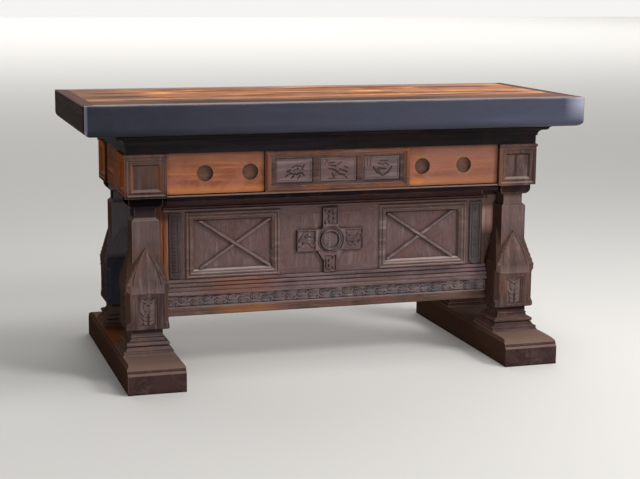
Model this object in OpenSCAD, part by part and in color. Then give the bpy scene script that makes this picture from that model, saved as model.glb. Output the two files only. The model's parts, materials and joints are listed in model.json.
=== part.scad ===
// Communion table: a carved sledge-foot table with two drawers in its frieze.
// X runs along the table, -Y is the carved front, +Z is up, and the origin is on
// the floor under the middle of the table. All sizes are in millimetres.

/* [Overall size] */
// Height of the table above the floor
table_h = 868; // [835:1:905]
// Length of the frame over its corner blocks
frame_l = 1367; // [1300:1:1420]
// Width of the frame over its corner blocks
frame_w = 522; // [500:1:550]

/* [Table top] */
// Length of the top
top_l = 1633; // [1560:1:1700]
// Width of the top, front to back
top_w = 676; // [640:1:720]
// Height of the black edging round the top
top_t = 95; // [86:1:102]
// Width of the black edging, seen from above
edge_w = 42; // [34:1:50]
// Radius of the rounded lower edge of the edging
edge_round = 26; // [12:1:30]
// Radius of the corners of the top, seen from above
corner_round = 14; // [6:1:20]
// Thickness of the boards of the top
board_t = 42; // [30:1:48]
// Thickness of the tongues between the boards
tongue_t = 10; // [6:1:12]
// Depth of the tongues between the boards
tongue_l = 8; // [5:1:10]
// Width of the bearers under the top
bearer_w = 100; // [70:1:110]

/* [Fascia and cornice] */
// Height of the fascia rails
fascia_h = 61; // [56:1:72]
// Thickness of the fascia rails
fascia_t = 35; // [28:1:40]
// Distance of the fascia's face behind the corner blocks
fascia_in = 3; // [0:0.5:6]
// Height of the cornice moulding
cornice_h = 34; // [26:1:40]
// Projection of the cornice moulding
cornice_out = 37; // [28:1:42]

/* [Posts] */
// Width of the corner blocks at the frieze
block_w = 131; // [122:1:136]
// Height of the corner blocks
block_h = 125; // [118:1:135]
// Height of the half round bead over a corner block
bead_h = 11; // [8:1:14]
// Height of the capital under a corner block
capital_h = 34; // [28:1:40]
// Width of the capital
capital_w = 106; // [96:1:112]
// Width of the neck under the capital
neck_w = 66; // [58:1:74]
// Height of the neck
neck_h = 39; // [30:1:46]
// Width of the shaft
shaft_w = 84; // [80:1:90]
// Height of the gabled broach at the foot of the shaft
broach_h = 117; // [90:1:130]
// Width of the lower block
lower_w = 134; // [126:1:140]
// Height of the lower block
lower_h = 144; // [135:1:155]
// Depth of the chamfers on the arrises of the lower block, along each face
arris = 13; // [6:1:15]
// Side of the tenons at the ends of a post
tenon_w = 40; // [30:1:46]
// Length of the tenon at the top of a post
top_tenon_l = 40; // [25:1:55]

/* [Feet] */
// Length of a foot, front to back
foot_l = 816; // [780:1:860]
// Width of a foot
foot_w = 180; // [172:1:190]
// Height of a foot
foot_h = 86; // [80:1:95]
// Height of the upright face at the end of a foot
foot_face_h = 59; // [48:1:64]
// Depth of the moulding at the end of a foot
foot_nose = 48; // [36:1:56]
// Width of the bevel along the top of a foot
foot_bevel = 9; // [4:1:12]
// Height of the plinth moulding between a foot and a post
plinth_h = 78; // [72:1:88]
// Width of the plinth moulding at its base
plinth_w = 162; // [154:1:168]
// Width of the plinth moulding at its neck
plinth_neck_w = 98; // [90:1:106]
// Depth of a post's mortise in the foot
foot_mortise = 45; // [30:1:60]

/* [Carved panel] */
// Distance of the panel's face behind the corner blocks
panel_in = 95; // [85:1:100]
// Thickness of the panel's frame
panel_t = 36; // [30:1:42]
// Distance from the lower block's underside up to the panel
panel_lift = 18; // [10:1:26]
// Height of the moulding along the foot of the panel
base_mould_h = 26; // [22:1:32]
// Projection of the moulding along the foot of the panel
base_mould_out = 18; // [12:1:22]
// Height of the strip carved with a vine
vine_h = 41; // [34:1:46]
// Height of the reeded ledge moulding
ledge_h = 49; // [42:1:54]
// Projection of the ledge moulding
ledge_out = 22; // [14:1:26]
// Height of the panel's top rail above the field mouldings
top_rail_h = 48; // [40:1:54]
// Width of the mitred mouldings round the crossed fields
ring_w = 30; // [24:1:34]
// Height of those mouldings above the frame
ring_out = 6; // [4:0.5:8]
// Distance of the crossed fields behind the frame
field_sink = 10; // [6:1:14]
// Thickness of the fields
field_t = 12; // [9:1:14]
// Depth of the rebates that hold the fields
rebate = 8; // [5:1:10]
// Half width of the plain centre field
centre_half = 140; // [132:1:150]
// Width of the muntins beside the centre field
muntin_w = 50; // [42:1:56]
// Width of the end stiles
stile_w = 94; // [88:1:104]
// Width of the straps that form the crosses of the outer fields
strap_w = 12; // [9:1:16]
// Thickness of those straps
strap_t = 9; // [6:1:10]
// Width of the carved strips on the end stiles
strip_w = 40; // [30:1:46]
// Thickness of the carved strips
strip_t = 5; // [3:1:7]
// Reach of the centre cross, from its middle to the end of a side arm
cross_reach = 113; // [100:1:125]
// Width of the centre cross's side arms
cross_side_w = 70; // [60:1:78]
// Width of the centre cross's upper arm
cross_top_w = 54; // [44:1:62]
// Width of the centre cross's lower arm
cross_foot_w = 46; // [36:1:54]
// Radius of the hub of the centre cross
cross_hub = 48; // [44:1:54]
// Thickness of the centre cross
cross_t = 11; // [8:1:14]

/* [Frieze and drawers] */
// Height of the rail under the drawers
rail_h = 20; // [16:1:24]
// Depth of the rail under the drawers, front to back
rail_d = 40; // [32:1:44]
// Half width of the fixed panel between the drawers
centre_panel_half = 240; // [232:1:248]
// Distance of the fixed panel behind the corner blocks
centre_in = 8; // [6:0.5:12]
// Thickness of the frieze boards
frieze_t = 22; // [18:1:24]
// Distance of the drawer fronts behind the corner blocks
drawer_in = 15; // [12:1:20]
// Gap round a drawer front
drawer_gap = 1.8; // [1.2:0.1:3]
// Thickness of the drawer fronts
front_t = 22; // [18:1:24]
// Thickness of the drawer sides and backs
side_t = 12; // [9:1:15]
// Thickness of the drawer bottoms
bottom_t = 7; // [5:1:9]
// Space between the sides of a closed drawer and the back of the frieze
drawer_room = 35; // [25:1:70]
// Clearance between a drawer and its runners
slide_gap = 0.5; // [0.3:0.1:1]
// Space between a drawer's side and the side of its opening
side_space = 6; // [5:0.5:8]
// Width of the runners under a drawer's sides
runner_w = 34; // [26:1:44]
// Height of the guides above a runner
guide_h = 28; // [20:1:36]
// Diameter of the finger cups
pull_d = 54; // [46:1:60]
// Depth of the finger cups
pull_depth = 14; // [10:1:16]
// Distance between the two finger cups of a drawer
pull_pitch = 144; // [120:1:150]
// Distance of a pair of cups from the middle of its drawer
pull_shift = 37; // [20:1:40]
// Spacing of the sunk squares of the centre panel
square_pitch = 146; // [138:1:150]
// Side of the sunk squares of the centre panel
square_w = 128; // [110:1:132]

/* [Hidden] */
$fn = 48;

// Clearance of a tenon or tongue in its mortise or groove
fit = 0.2;
// Distance that the end of a mitred strip stands back from the line of its mitre
mitre_gap = 0.1;
// Overshoot of a cut past the face it opens in
over = 1;
// A length that reaches past the whole table
far = 2 * top_l;

// Heights of the joints of a post, from the floor up
z_block = foot_h + plinth_h;
z_broach = z_block + lower_h;
z_fascia = table_h - top_t - fascia_h;
z_bead = z_fascia - bead_h;
z_corner = z_bead - block_h;
z_capital = z_corner - capital_h;
z_neck = z_capital - neck_h;
z_top = table_h - top_t;
shoulder_h = 9;
bead_in = 2;

// Centres of the posts, measured from the middle of the table
post_x = frame_l / 2 - block_w / 2;
post_y = frame_w / 2 - block_w / 2;
front = -frame_w / 2;

// Fascia rails: outer faces and the clear space inside them
fascia_x = frame_l / 2 - fascia_in;
fascia_y = frame_w / 2 - fascia_in;
bearer_x = fascia_x - fascia_t - bearer_w / 2;

// Frieze: clear length between the corner blocks
frieze_half = post_x - block_w / 2;
rail_lift = 6;
rail_in = 5;
frieze_in = 8;
z_rail = z_corner + rail_lift;
z_drawer = z_rail + drawer_gap;
z_runner = z_drawer - slide_gap;
z_frieze = z_rail - rail_h;
z_drawer_top = z_fascia - drawer_gap;
side_drop = 10;
z_side_top = z_drawer_top - side_drop;
rail_y = front + rail_in;
drawer_y = front + drawer_in;
drawer_mid = (frieze_half + centre_panel_half) / 2;
opening_w = frieze_half - centre_panel_half;
front_w = opening_w - 2 * drawer_gap;
box_w = opening_w - 2 * side_space;
back_y = frame_w / 2 - frieze_in - frieze_t;
drawer_d = back_y - drawer_y - front_t - drawer_room;
bottom_lift = 10;

// Carved panel: heights of its bands, from the floor up
z_panel = z_block + panel_lift;
z_vine = z_panel + base_mould_h;
z_ledge = z_vine + vine_h;
z_ring = z_ledge + ledge_h;
z_ring_top = z_frieze - top_rail_h;
z_open = z_ring + ring_w - rebate;
z_open_top = z_ring_top - ring_w + rebate;
panel_y = front + panel_in;
panel_half = post_x - lower_w / 2;
open_in = centre_half + muntin_w;
open_out = panel_half - stile_w;
field_mid = (open_in + open_out) / 2;
field_w = open_out - open_in;
field_z = (z_open + z_open_top) / 2;
field_h = z_open_top - z_open;

// ---- Helpers ----

// Points on an arc of radius r about c, from angle a to angle b
function arc(c, r, a, b, n = 8) =
    [for (i = [0:n]) c + r * [cos(a + (b - a) * i / n), sin(a + (b - a) * i / n)]];

// Closes a right-hand outline with its mirror image
function both_sides(half) =
    concat(half, [for (i = [len(half) - 1:-1:0]) [-half[i][0], half[i][1]]]);

// Extrudes an outline drawn in the plane of Y and Z along X
module along_x(l) rotate([90, 0, 90]) linear_extrude(l, center = true) children();

// Extrudes an outline drawn in the plane of X and Z along Y
module along_y(l) rotate([90, 0, 0]) linear_extrude(l, center = true) children();

// A form that is square in plan at every height, from half widths and heights
module square_stack(half) {
    reach = 4 * max([for (p = half) p[0]]);
    intersection() {
        along_x(reach) polygon(both_sides(half));
        along_y(reach) polygon(both_sides(half));
    }
}

// A box from its lowest to its highest corner
module span(lo, hi) translate(lo) cube(hi - lo);

// A strip along X with mitred ends: its outline is drawn as projection and height
// and faces -Y, and l is its length at no projection
module mitred_strip(l, reach, h) {
    intersection() {
        along_x(l + 2 * reach) mirror([1, 0]) children();
        linear_extrude(h)
            polygon([[mitre_gap - l / 2, 0], [l / 2 - mitre_gap, 0],
                     [l / 2 + reach - mitre_gap, -reach],
                     [mitre_gap - l / 2 - reach, -reach]]);
    }
}

// A sunk rectangle with sloping sides, cut into a face at y = 0 that looks to -Y
module sunk(w, h, slope, depth) {
    grow = slope * over / depth;
    intersection() {
        along_y(far) square([w + 2 * grow, h + 2 * grow], center = true);
        linear_extrude(far, center = true)
            polygon([[-w / 2 - grow, -over], [w / 2 + grow, -over],
                     [w / 2 - slope, depth], [slope - w / 2, depth]]);
        along_x(far)
            polygon([[-over, -h / 2 - grow], [-over, h / 2 + grow],
                     [depth, h / 2 - slope], [depth, slope - h / 2]]);
    }
}

// Copies a piece made for the front left quarter to the named quarter
module quarter(right, back) mirror([right, 0, 0]) mirror([0, back, 0]) children();

// Mirrors a piece to the other side of a drawer when s is negative
module side_of(s) mirror([s < 0 ? 1 : 0, 0, 0]) children();

// ---- Table top ----

boards_w = top_w - 2 * edge_w;
boards_l = top_l - 2 * edge_w;
board_w = boards_w / 3;
z_board = table_h - board_t;

// One board, counted from the front; a tongue behind it fills the next one's groove
module top_board(i) {
    y = -boards_w / 2 + i * board_w;
    z = z_board + board_t / 2;
    color("peru") difference() {
        union() {
            span([-boards_l / 2, y, z_board], [boards_l / 2, y + board_w, table_h]);
            if (i < 2)
                span([-boards_l / 2, y + board_w - over, z - tongue_t / 2],
                     [boards_l / 2, y + board_w + tongue_l, z + tongue_t / 2]);
        }
        if (i > 0)
            span([-top_l, y - over, z - tongue_t / 2 - fit],
                 [top_l, y + tongue_l + fit, z + tongue_t / 2 + fit]);
    }
}

// Section of the edging: a deep face, round below and eased above
module edging_section() {
    ease = 4;
    polygon(concat(
        [[0, 0]],
        arc([edge_w - edge_round, edge_round], edge_round, -90, 0),
        arc([edge_w - ease, top_t - ease], ease, 0, 90, 3),
        [[0, top_t]]));
}

// Plan of the whole top with its corners rounded
module top_plan() {
    x = top_l / 2 - corner_round;
    y = top_w / 2 - corner_round;
    square([top_l, 2 * y], center = true);
    square([2 * x, top_w], center = true);
    for (sx = [-1, 1], sy = [-1, 1]) translate([sx * x, sy * y]) circle(corner_round);
}

// One strip of edging of length l outside the boards, d in front of the middle
module top_edge(l, d) {
    translate([0, -d, z_top]) mitred_strip(l, edge_w, top_t) edging_section();
}

module top_edge_long(back) {
    color("darkslategray") intersection() {
        quarter(0, back) top_edge(boards_l, boards_w / 2);
        translate([0, 0, z_top - over]) linear_extrude(top_t + 2 * over) top_plan();
    }
}

module top_edge_end(right) {
    color("darkslategray") intersection() {
        quarter(right, 0) rotate([0, 0, -90]) top_edge(boards_w, boards_l / 2);
        translate([0, 0, z_top - over]) linear_extrude(top_t + 2 * over) top_plan();
    }
}

// A bearer across the frame: it fills the height of the fascia between the rails
// and then lies over the rails to carry the boards. The two at the ends lie against
// the fascia and take the tenons of the posts.
module bearer(x, end) {
    long_y = fascia_y;
    short_y = fascia_y - fascia_t;
    color("saddlebrown") difference() {
        translate([x, 0, 0]) along_x(bearer_w)
            polygon([[-short_y, z_fascia], [short_y, z_fascia], [short_y, z_top],
                     [long_y, z_top], [long_y, z_board],
                     [-long_y, z_board], [-long_y, z_top], [-short_y, z_top]]);
        if (end != 0)
            for (y = [-post_y, post_y])
                translate([end * post_x, y, 0])
                    span([-tenon_w / 2 - fit, -tenon_w / 2 - fit, z_fascia - over],
                         [tenon_w / 2 + fit, tenon_w / 2 + fit,
                          z_fascia + top_tenon_l + fit]);
    }
}

// ---- Fascia and cornice ----

// One fascia rail of outer length l, its face d in front of the middle
module fascia(l, d) {
    inner = l - 2 * fascia_t;
    translate([0, fascia_t - d, z_fascia])
        mitred_strip(inner, fascia_t, fascia_h) square([fascia_t, fascia_h]);
}

module fascia_long(back) {
    color("darkslategray") quarter(0, back) fascia(2 * fascia_x, fascia_y);
}

module fascia_end(right) {
    color("darkslategray")
        quarter(right, 0) rotate([0, 0, -90]) fascia(2 * fascia_y, fascia_x);
}

// Section of the cornice: a cove that sweeps out, then a quarter round and a fillet
module cornice_section() {
    fillet = 4;
    lip = 3;
    cove = min(cornice_h / 2, cornice_out * 0.45);
    step = fillet + cove + 2;
    ovolo = min(cornice_h - lip - cove - fillet, cornice_out - step);
    polygon(concat(
        [[0, 0], [fillet, 0]],
        arc([fillet + cove, lip], cove, 180, 90, 6),
        arc([step, lip + cove + ovolo], ovolo, -90, 0, 6),
        [[cornice_out, lip + cove + ovolo], [cornice_out, cornice_h], [0, cornice_h]]));
}

module cornice() {
    z = z_top - cornice_h;
    color("darkslategray") {
        for (back = [0, 1])
            quarter(0, back) translate([0, -fascia_y, z])
                mitred_strip(2 * fascia_x, cornice_out, cornice_h) cornice_section();
        for (right = [0, 1])
            quarter(right, 0) rotate([0, 0, -90]) translate([0, -fascia_x, z])
                mitred_strip(2 * fascia_y, cornice_out, cornice_h) cornice_section();
    }
}

// ---- Posts and feet ----

// Half widths and heights of a post, without its broach and tenons
function post_outline() =
    let (ovolo = (capital_w - neck_w) / 2, bead = bead_h / 2, ease = 4)
    concat(
        [[0, z_block], [lower_w / 2 - ease, z_block], [lower_w / 2, z_block + ease],
         [lower_w / 2, z_broach - ease], [lower_w / 2 - ease, z_broach],
         [shaft_w / 2, z_broach], [shaft_w / 2, z_neck],
         [neck_w / 2, z_neck + shoulder_h], [neck_w / 2, z_capital]],
        arc([neck_w / 2, z_capital + ovolo], ovolo, -90, 0),
        [[capital_w / 2, z_corner], [block_w / 2, z_corner], [block_w / 2, z_bead]],
        arc([block_w / 2 - bead_in, z_bead + bead], bead, -90, 90),
        [[0, z_fascia]]);

// The gabled broach: four sloping gables whose points meet the faces of the shaft,
// and four corner facets between them, from a square frustum and a diagonal one.
// It stands out by grow all round, as what is scribed to it needs
module broach(grow = 0) {
    z_point = z_broach + broach_h;
    low = z_broach - 4;
    lean = (lower_w - shaft_w) / 2 / broach_h;
    turn_lean = (lower_w * sqrt(2) - shaft_w / sqrt(2)) / 2 / broach_h;
    intersection() {
        square_stack([[0, low], [lower_w / 2 + grow, low], [lower_w / 2 + grow, z_broach],
                      [shaft_w / 2 + grow - lean * over, z_point + over],
                      [0, z_point + over]]);
        rotate([0, 0, 45])
            square_stack([[0, low], [lower_w / sqrt(2) + grow, low],
                          [lower_w / sqrt(2) + grow, z_broach],
                          [shaft_w / sqrt(8) + grow - turn_lean * over, z_point + over],
                          [0, z_point + over]]);
    }
}

// The sunk triangle inside the border of the gable on the -Y face of a post
module gable_sinking() {
    border = 6;
    depth = 2;
    back = (lower_w - shaft_w) / 2;
    tall = norm([broach_h, back]);
    base_angle = atan(tall / (lower_w / 2));
    half = lower_w / 2 - border / tan(base_angle / 2);
    peak = tall - border / cos(base_angle);
    translate([0, -lower_w / 2, z_broach])
        rotate([90 - atan(back / broach_h), 0, 0]) translate([0, 0, -depth])
        linear_extrude(depth + over) polygon([[-half, border], [half, border], [0, peak]]);
}

// The flats on the arrises of the lower block, stopped short of both its ends
module arris_cuts() {
    stop = 12;
    long = lower_w * sqrt(2);
    flat = long / 2 - arris / sqrt(2);
    for (a = [45:90:315])
        rotate([0, 0, a])
            intersection() {
                span([flat, -lower_w, z_block], [long, lower_w, z_broach]);
                along_y(far) polygon([[flat, z_block + stop + arris],
                                      [flat, z_broach - stop - arris],
                                      [long, z_broach - stop + long - flat - arris],
                                      [long, z_block + stop - long + flat + arris]]);
            }
}

// The framed sinkings in one face of a post, which looks to -Y
module face_sinkings() {
    plate_w = 62;
    plate_h = lower_h - 50;
    border = 7;
    inner = 16;
    translate([0, -block_w / 2, z_corner + block_h / 2]) {
        sunk(block_w - 2 * border, block_h - 2 * border, 4, 3);
        sunk(block_w - 2 * inner, block_h - 2 * inner, 11, 9);
    }
    translate([0, -lower_w / 2, z_block + 9 + plate_h / 2]) {
        sunk(plate_w, plate_h, 2, 3);
        sunk(plate_w - 12, plate_h - 12, 1, 6);
    }
}

// One post, about its own axis. Its bead is cut flush where the frieze meets it
module post_form() {
    difference() {
        union() {
            square_stack(post_outline());
            broach();
            span([-tenon_w / 2, -tenon_w / 2, foot_h - foot_mortise + fit],
                 [tenon_w / 2, tenon_w / 2, z_fascia + top_tenon_l]);
        }
        arris_cuts();
        for (a = [0:90:270]) rotate([0, 0, a]) gable_sinking();
        for (a = [0, -90]) rotate([0, 0, a]) face_sinkings();
        for (m = [0, 1]) mirror([m, -m, 0])
            span([block_w / 2, -block_w, z_bead], [block_w, block_w, z_fascia + over]);
    }
}

// A post in its quarter; its sunk faces look outwards
module post(right, back) {
    color("dimgray") quarter(right, back) translate([-post_x, -post_y, 0]) post_form();
}

// Half widths and heights of a plinth moulding, from its foot up
function plinth_outline() =
    let (base = plinth_w / 2, neck = plinth_neck_w / 2, torus_r = 7,
         riser = base - 15, z_torus = foot_h + plinth_h * 0.34,
         z_bead = foot_h + plinth_h * 0.66, bead_r = 3.5,
         cove_r = z_bead - z_torus - 2 * torus_r)
    concat(
        [[0, foot_h], [base, foot_h], [base - 3, foot_h + 5]],
        arc([base - 1, z_torus], base - riser - 1, 262, 190, 6),
        arc([riser - torus_r + 2, z_torus + torus_r], torus_r, -80, 80, 6),
        arc([neck + bead_r - 1 + cove_r, z_bead], cove_r, 265, 185, 5),
        arc([neck, z_bead + bead_r], bead_r, -80, 90, 5),
        [[neck, z_block], [0, z_block]]);

module plinth_mouldings(right) {
    color("dimgray") for (back = [0, 1])
        quarter(right, back) translate([-post_x, -post_y, 0]) difference() {
            square_stack(plinth_outline());
            span([-tenon_w / 2 - fit, -tenon_w / 2 - fit, 0],
                 [tenon_w / 2 + fit, tenon_w / 2 + fit, table_h]);
        }
}

// A sledge foot: moulded at both ends, bevelled along its top
module foot(right) {
    lip = 6;
    nose_h = foot_h - foot_face_h - lip;
    nose_d = foot_nose - lip;
    nose = [for (i = [0:8]) [foot_l / 2 - lip - nose_d * (1 - cos(i * 11.25)),
                             foot_face_h + lip + nose_h * sin(i * 11.25)]];
    color("saddlebrown") quarter(right, 0) translate([-post_x, 0, 0]) difference() {
        intersection() {
            along_x(2 * foot_w)
                polygon(both_sides(concat(
                    [[0, 0], [foot_l / 2, 0], [foot_l / 2, foot_face_h]],
                    nose, [[0, foot_h]])));
            along_y(2 * foot_l)
                polygon(both_sides([[0, 0], [foot_w / 2, 0],
                                    [foot_w / 2, foot_h - foot_bevel],
                                    [foot_w / 2 - foot_bevel, foot_h], [0, foot_h]]));
        }
        for (y = [-post_y, post_y])
            span([-tenon_w / 2 - fit, y - tenon_w / 2 - fit, foot_h - foot_mortise],
                 [tenon_w / 2 + fit, y + tenon_w / 2 + fit, foot_h + over]);
    }
}

// ---- Frieze ----

module frieze_end(right) {
    y = post_y - block_w / 2;
    color("sienna") quarter(right, 0)
        span([frieze_in - frame_l / 2, -y, z_corner],
             [frieze_in + frieze_t - frame_l / 2, y, z_fascia]);
}

module frieze_back() {
    color("sienna")
        span([-frieze_half, back_y, z_frieze], [frieze_half, back_y + frieze_t, z_fascia]);
}

// The rail under the drawers, its upper front edge rounded as a bead
module drawer_rail() {
    r = 3;
    color("dimgray") along_x(2 * frieze_half)
        polygon(concat(
            [[rail_y + rail_d, z_frieze], [rail_y + rail_d, z_rail]],
            arc([rail_y + r, z_rail - r], r, 90, 270, 6),
            [[rail_y + r, z_rail - 2 * r - 1], [rail_y + r, z_frieze]]));
}

// The fixed panel between the drawers, with three sunk squares
module frieze_centre_panel() {
    y = front + centre_in;
    z_mid = (z_rail + z_fascia) / 2;
    color("dimgray") difference() {
        span([-centre_panel_half, y, z_rail],
             [centre_panel_half, y + frieze_t, z_fascia]);
        for (i = [-1:1])
            translate([i * square_pitch, y, z_mid]) {
                sunk(square_w, 84, 4, 4);
                sunk(square_w - 22, 62, 2, 6);
            }
    }
}

// Mitred mouldings planted round the edge of the fixed panel
module frieze_centre_mouldings() {
    w = 19;
    h = z_fascia - z_rail;
    y = front + centre_in;
    section = concat([[0, 0], [0, 2]], arc([w * 0.45, 2], w * 0.3, 150, 40, 5),
                     [[w * 0.72, 3], [w - 2, 3], [w, 0]]);
    color("sienna") translate([0, y, (z_rail + z_fascia) / 2])
        for (a = [0, 90, 180, 270])
            let (along = a % 180 == 0 ? 2 * centre_panel_half : h,
                 across = a % 180 == 0 ? h : 2 * centre_panel_half)
                rotate([0, a, 0]) translate([0, 0, -across / 2]) picture_strip(along, w)
                    polygon(section);
}

// A strip along X on a face that looks to -Y, with inner mitres: its outline is
// drawn as height up the face and projection from it, and l is its outer length
module picture_strip(l, w) {
    intersection() {
        along_x(l) rotate(90) children();
        along_y(far)
            polygon([[mitre_gap - l / 2, 0], [l / 2 - mitre_gap, 0],
                     [l / 2 - w - mitre_gap, w], [w + mitre_gap - l / 2, w]]);
    }
}

// The two runners of a drawer: each has a guide beside the drawer and a stop behind
module drawer_runners(right) {
    y0 = rail_y + rail_d;
    stop_y = drawer_y + front_t + drawer_d + slide_gap;
    half = opening_w / 2;
    guide = side_space - slide_gap;
    color("burlywood") quarter(right, 0) translate([-drawer_mid, 0, 0])
        for (s = [-1, 1]) side_of(s)
            difference() {
                span([half - runner_w, y0, z_frieze], [half, back_y, z_runner + guide_h]);
                span([0, -frame_w, z_runner], [half - guide, stop_y, table_h]);
            }
}

// A bar over each drawer that keeps it level when it is pulled out
module drawer_kickers() {
    half = 15;
    above_drawer = 3;
    in_fascia = 20;
    y = fascia_y - fascia_t;
    color("burlywood") for (s = [-1, 1])
        span([s * drawer_mid - half, -y, z_side_top + above_drawer],
             [s * drawer_mid + half, y, z_fascia + in_fascia]);
}

// ---- Drawers ----

// Places a piece drawn about the middle of a drawer in the left or right opening
module in_opening(right) quarter(right, 0) translate([-drawer_mid, 0, 0]) children();

// The places of a drawer's two finger cups
module at_cups() {
    z = (z_drawer + z_drawer_top) / 2;
    for (s = [-1, 1])
        translate([pull_shift + s * pull_pitch / 2, drawer_y, z]) rotate([90, 0, 0])
            children();
}

module drawer_front(right) {
    color("chocolate") in_opening(right) difference() {
        span([-front_w / 2, drawer_y, z_drawer],
             [front_w / 2, drawer_y + front_t, z_drawer_top]);
        at_cups() translate([0, 0, -pull_depth]) cylinder(d = pull_d, h = 2 * pull_depth);
    }
}

module drawer_sides(right) {
    y = drawer_y + front_t;
    color("tan") in_opening(right)
        for (s = [-1, 1]) side_of(s) difference() {
            span([box_w / 2 - side_t, y, z_drawer], [box_w / 2, y + drawer_d, z_side_top]);
            span([0, y - over, z_drawer + bottom_lift - fit],
                 [box_w / 2 - side_t / 2, y + drawer_d + over,
                  z_drawer + bottom_lift + bottom_t + fit]);
        }
}

// The back stands on the bottom, a little inside the ends of the sides
module drawer_back(right) {
    inset = 6;
    drop = 4;
    y = drawer_y + front_t + drawer_d - side_t - inset;
    color("tan") in_opening(right)
        span([side_t - box_w / 2, y, z_drawer + bottom_lift + bottom_t],
             [box_w / 2 - side_t, y + side_t, z_side_top - drop]);
}

module drawer_bottom(right) {
    inset = 4;
    y = drawer_y + front_t;
    half = box_w / 2 - side_t / 2 - fit;
    z = z_drawer + bottom_lift;
    color("tan") in_opening(right)
        span([-half, y, z], [half, y + drawer_d - inset, z + bottom_t]);
}

// Turned cups let into a drawer front, hollow to take a finger tip
module drawer_cups(right) {
    r = pull_d / 2 - fit;
    wall = 2;
    color("dimgray") in_opening(right) at_cups()
        translate([0, 0, -pull_depth]) rotate_extrude()
            polygon([[0, 0], [r, 0], [r, pull_depth], [r - wall / 2, pull_depth],
                     [r - wall, pull_depth - wall], [r - wall - 1, 5],
                     [r - wall - 4, 3], [0, 2]]);
}

// ---- Carved panel ----

// The rebates that hold the three fields, cut from behind
module field_rebates() {
    y = panel_y + field_sink;
    for (x = [-field_mid, 0, field_mid]) {
        half = (x == 0 ? centre_half : field_w / 2) + rebate;
        translate([x, y, 0])
            span([-half, 0, z_open - rebate], [half, panel_t, z_open_top + rebate]);
    }
}

module panel_stile(right) {
    color("dimgray") difference() {
        quarter(right, 0) span([-panel_half, panel_y, z_open],
                               [-open_out, panel_y + panel_t, z_open_top]);
        field_rebates();
    }
}

module panel_muntins() {
    color("dimgray") difference() {
        for (right = [0, 1])
            quarter(right, 0) span([-open_in, panel_y, z_open],
                                   [-centre_half, panel_y + panel_t, z_open_top]);
        field_rebates();
    }
}

// The top rail, with a fillet and a bead along its foot
module panel_top_rail() {
    bead_out = 7;
    z0 = z_ring_top;
    color("dimgray") difference() {
        along_x(2 * panel_half)
            polygon(concat(
                [[panel_y + panel_t, z_open_top], [panel_y + panel_t, z_frieze],
                 [panel_y, z_frieze], [panel_y, z0 + 19]],
                [[panel_y - bead_out, z0 + 17], [panel_y - bead_out, z0 + 13]],
                arc([panel_y - 2, z0 + 7], 4, 100, 260, 5),
                [[panel_y, z0 + 2], [panel_y, z_open_top]]));
        field_rebates();
    }
}

module panel_bottom_rail() {
    color("dimgray") difference() {
        span([-panel_half, panel_y, z_panel], [panel_half, panel_y + panel_t, z_open]);
        field_rebates();
    }
}

// A sunk field of the panel, left or right of the middle
module panel_field(s) {
    half = field_w / 2 + rebate - fit;
    y = panel_y + field_sink;
    color("dimgray") translate([s * field_mid, y, 0])
        span([-half, 0, z_open - rebate + fit], [half, field_t, z_open_top + rebate - fit]);
}

// The plain centre field: its face stands level with the frame
module panel_field_centre() {
    half = centre_half - fit;
    back = panel_y + field_sink;
    color("dimgray") {
        span([-half, panel_y, z_open + fit], [half, back, z_open_top - fit]);
        span([-half - rebate, back, z_open + fit - rebate],
             [half + rebate, back + field_t, z_open_top - fit + rebate]);
    }
}

// Mitred mouldings over the joint of frame and field, round both crossed fields
module panel_field_mouldings() {
    w = ring_w;
    lip = rebate - fit;
    section = concat(
        [[0, 0], [2, ring_out - 2]], arc([6, ring_out - 3], 3, 130, 20, 4),
        [[11, ring_out - 3.5]], arc([16, ring_out - 4], 4, 150, 20, 4),
        [[w - lip + 3, 0], [w, 2 - field_sink], [w, fit - field_sink],
         [w - lip, fit - field_sink], [w - lip, 0]]);
    wide = field_w + 2 * (w - rebate);
    high = field_h + 2 * (w - rebate);
    color("sienna") for (s = [-1, 1])
        translate([s * field_mid, panel_y, field_z])
            for (a = [0, 90, 180, 270])
                let (along = a % 180 == 0 ? wide : high,
                     across = a % 180 == 0 ? high : wide)
                    rotate([0, a, 0]) translate([0, 0, -across / 2])
                        picture_strip(along, w) polygon(section);
}

// One strap with bevelled edges, turned by a and cut off inside an outer field
module strap(a, wide, high) {
    face = strap_w * 0.35;
    intersection() {
        rotate([0, a, 0]) along_x(far)
            polygon([[0, -strap_w / 2], [-strap_t + 3, -strap_w / 2 + 1],
                     [-strap_t, -face / 2], [-strap_t, face / 2],
                     [-strap_t + 3, strap_w / 2 - 1], [0, strap_w / 2]]);
        cube([wide, 4 * strap_t, high], center = true);
    }
}

// The crossed straps of an outer field: one runs through, and the two halves of the
// other are butted against it
module saltire(s) {
    wide = field_w - 2 * rebate - 18;
    high = field_h - 2 * rebate;
    angle = atan(high / wide);
    color("dimgray") translate([s * (field_mid - 8), panel_y + field_sink, field_z]) {
        strap(angle, wide, high);
        difference() {
            strap(-angle, wide, high);
            rotate([0, angle, 0])
                cube([far, 4 * strap_t, strap_w + 2 * mitre_gap], center = true);
        }
    }
}

// The reach of the centre cross's arm at angle a: the upright arms end just inside
// the ledge and the top rail
function cross_end(a) = a % 180 == 0 ? cross_reach : (z_ring_top - z_ring) / 2 - 2;

// The width of the centre cross's arm at angle a
function cross_w(a) = a % 180 == 0 ? cross_side_w : a == 90 ? cross_top_w : cross_foot_w;

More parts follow.
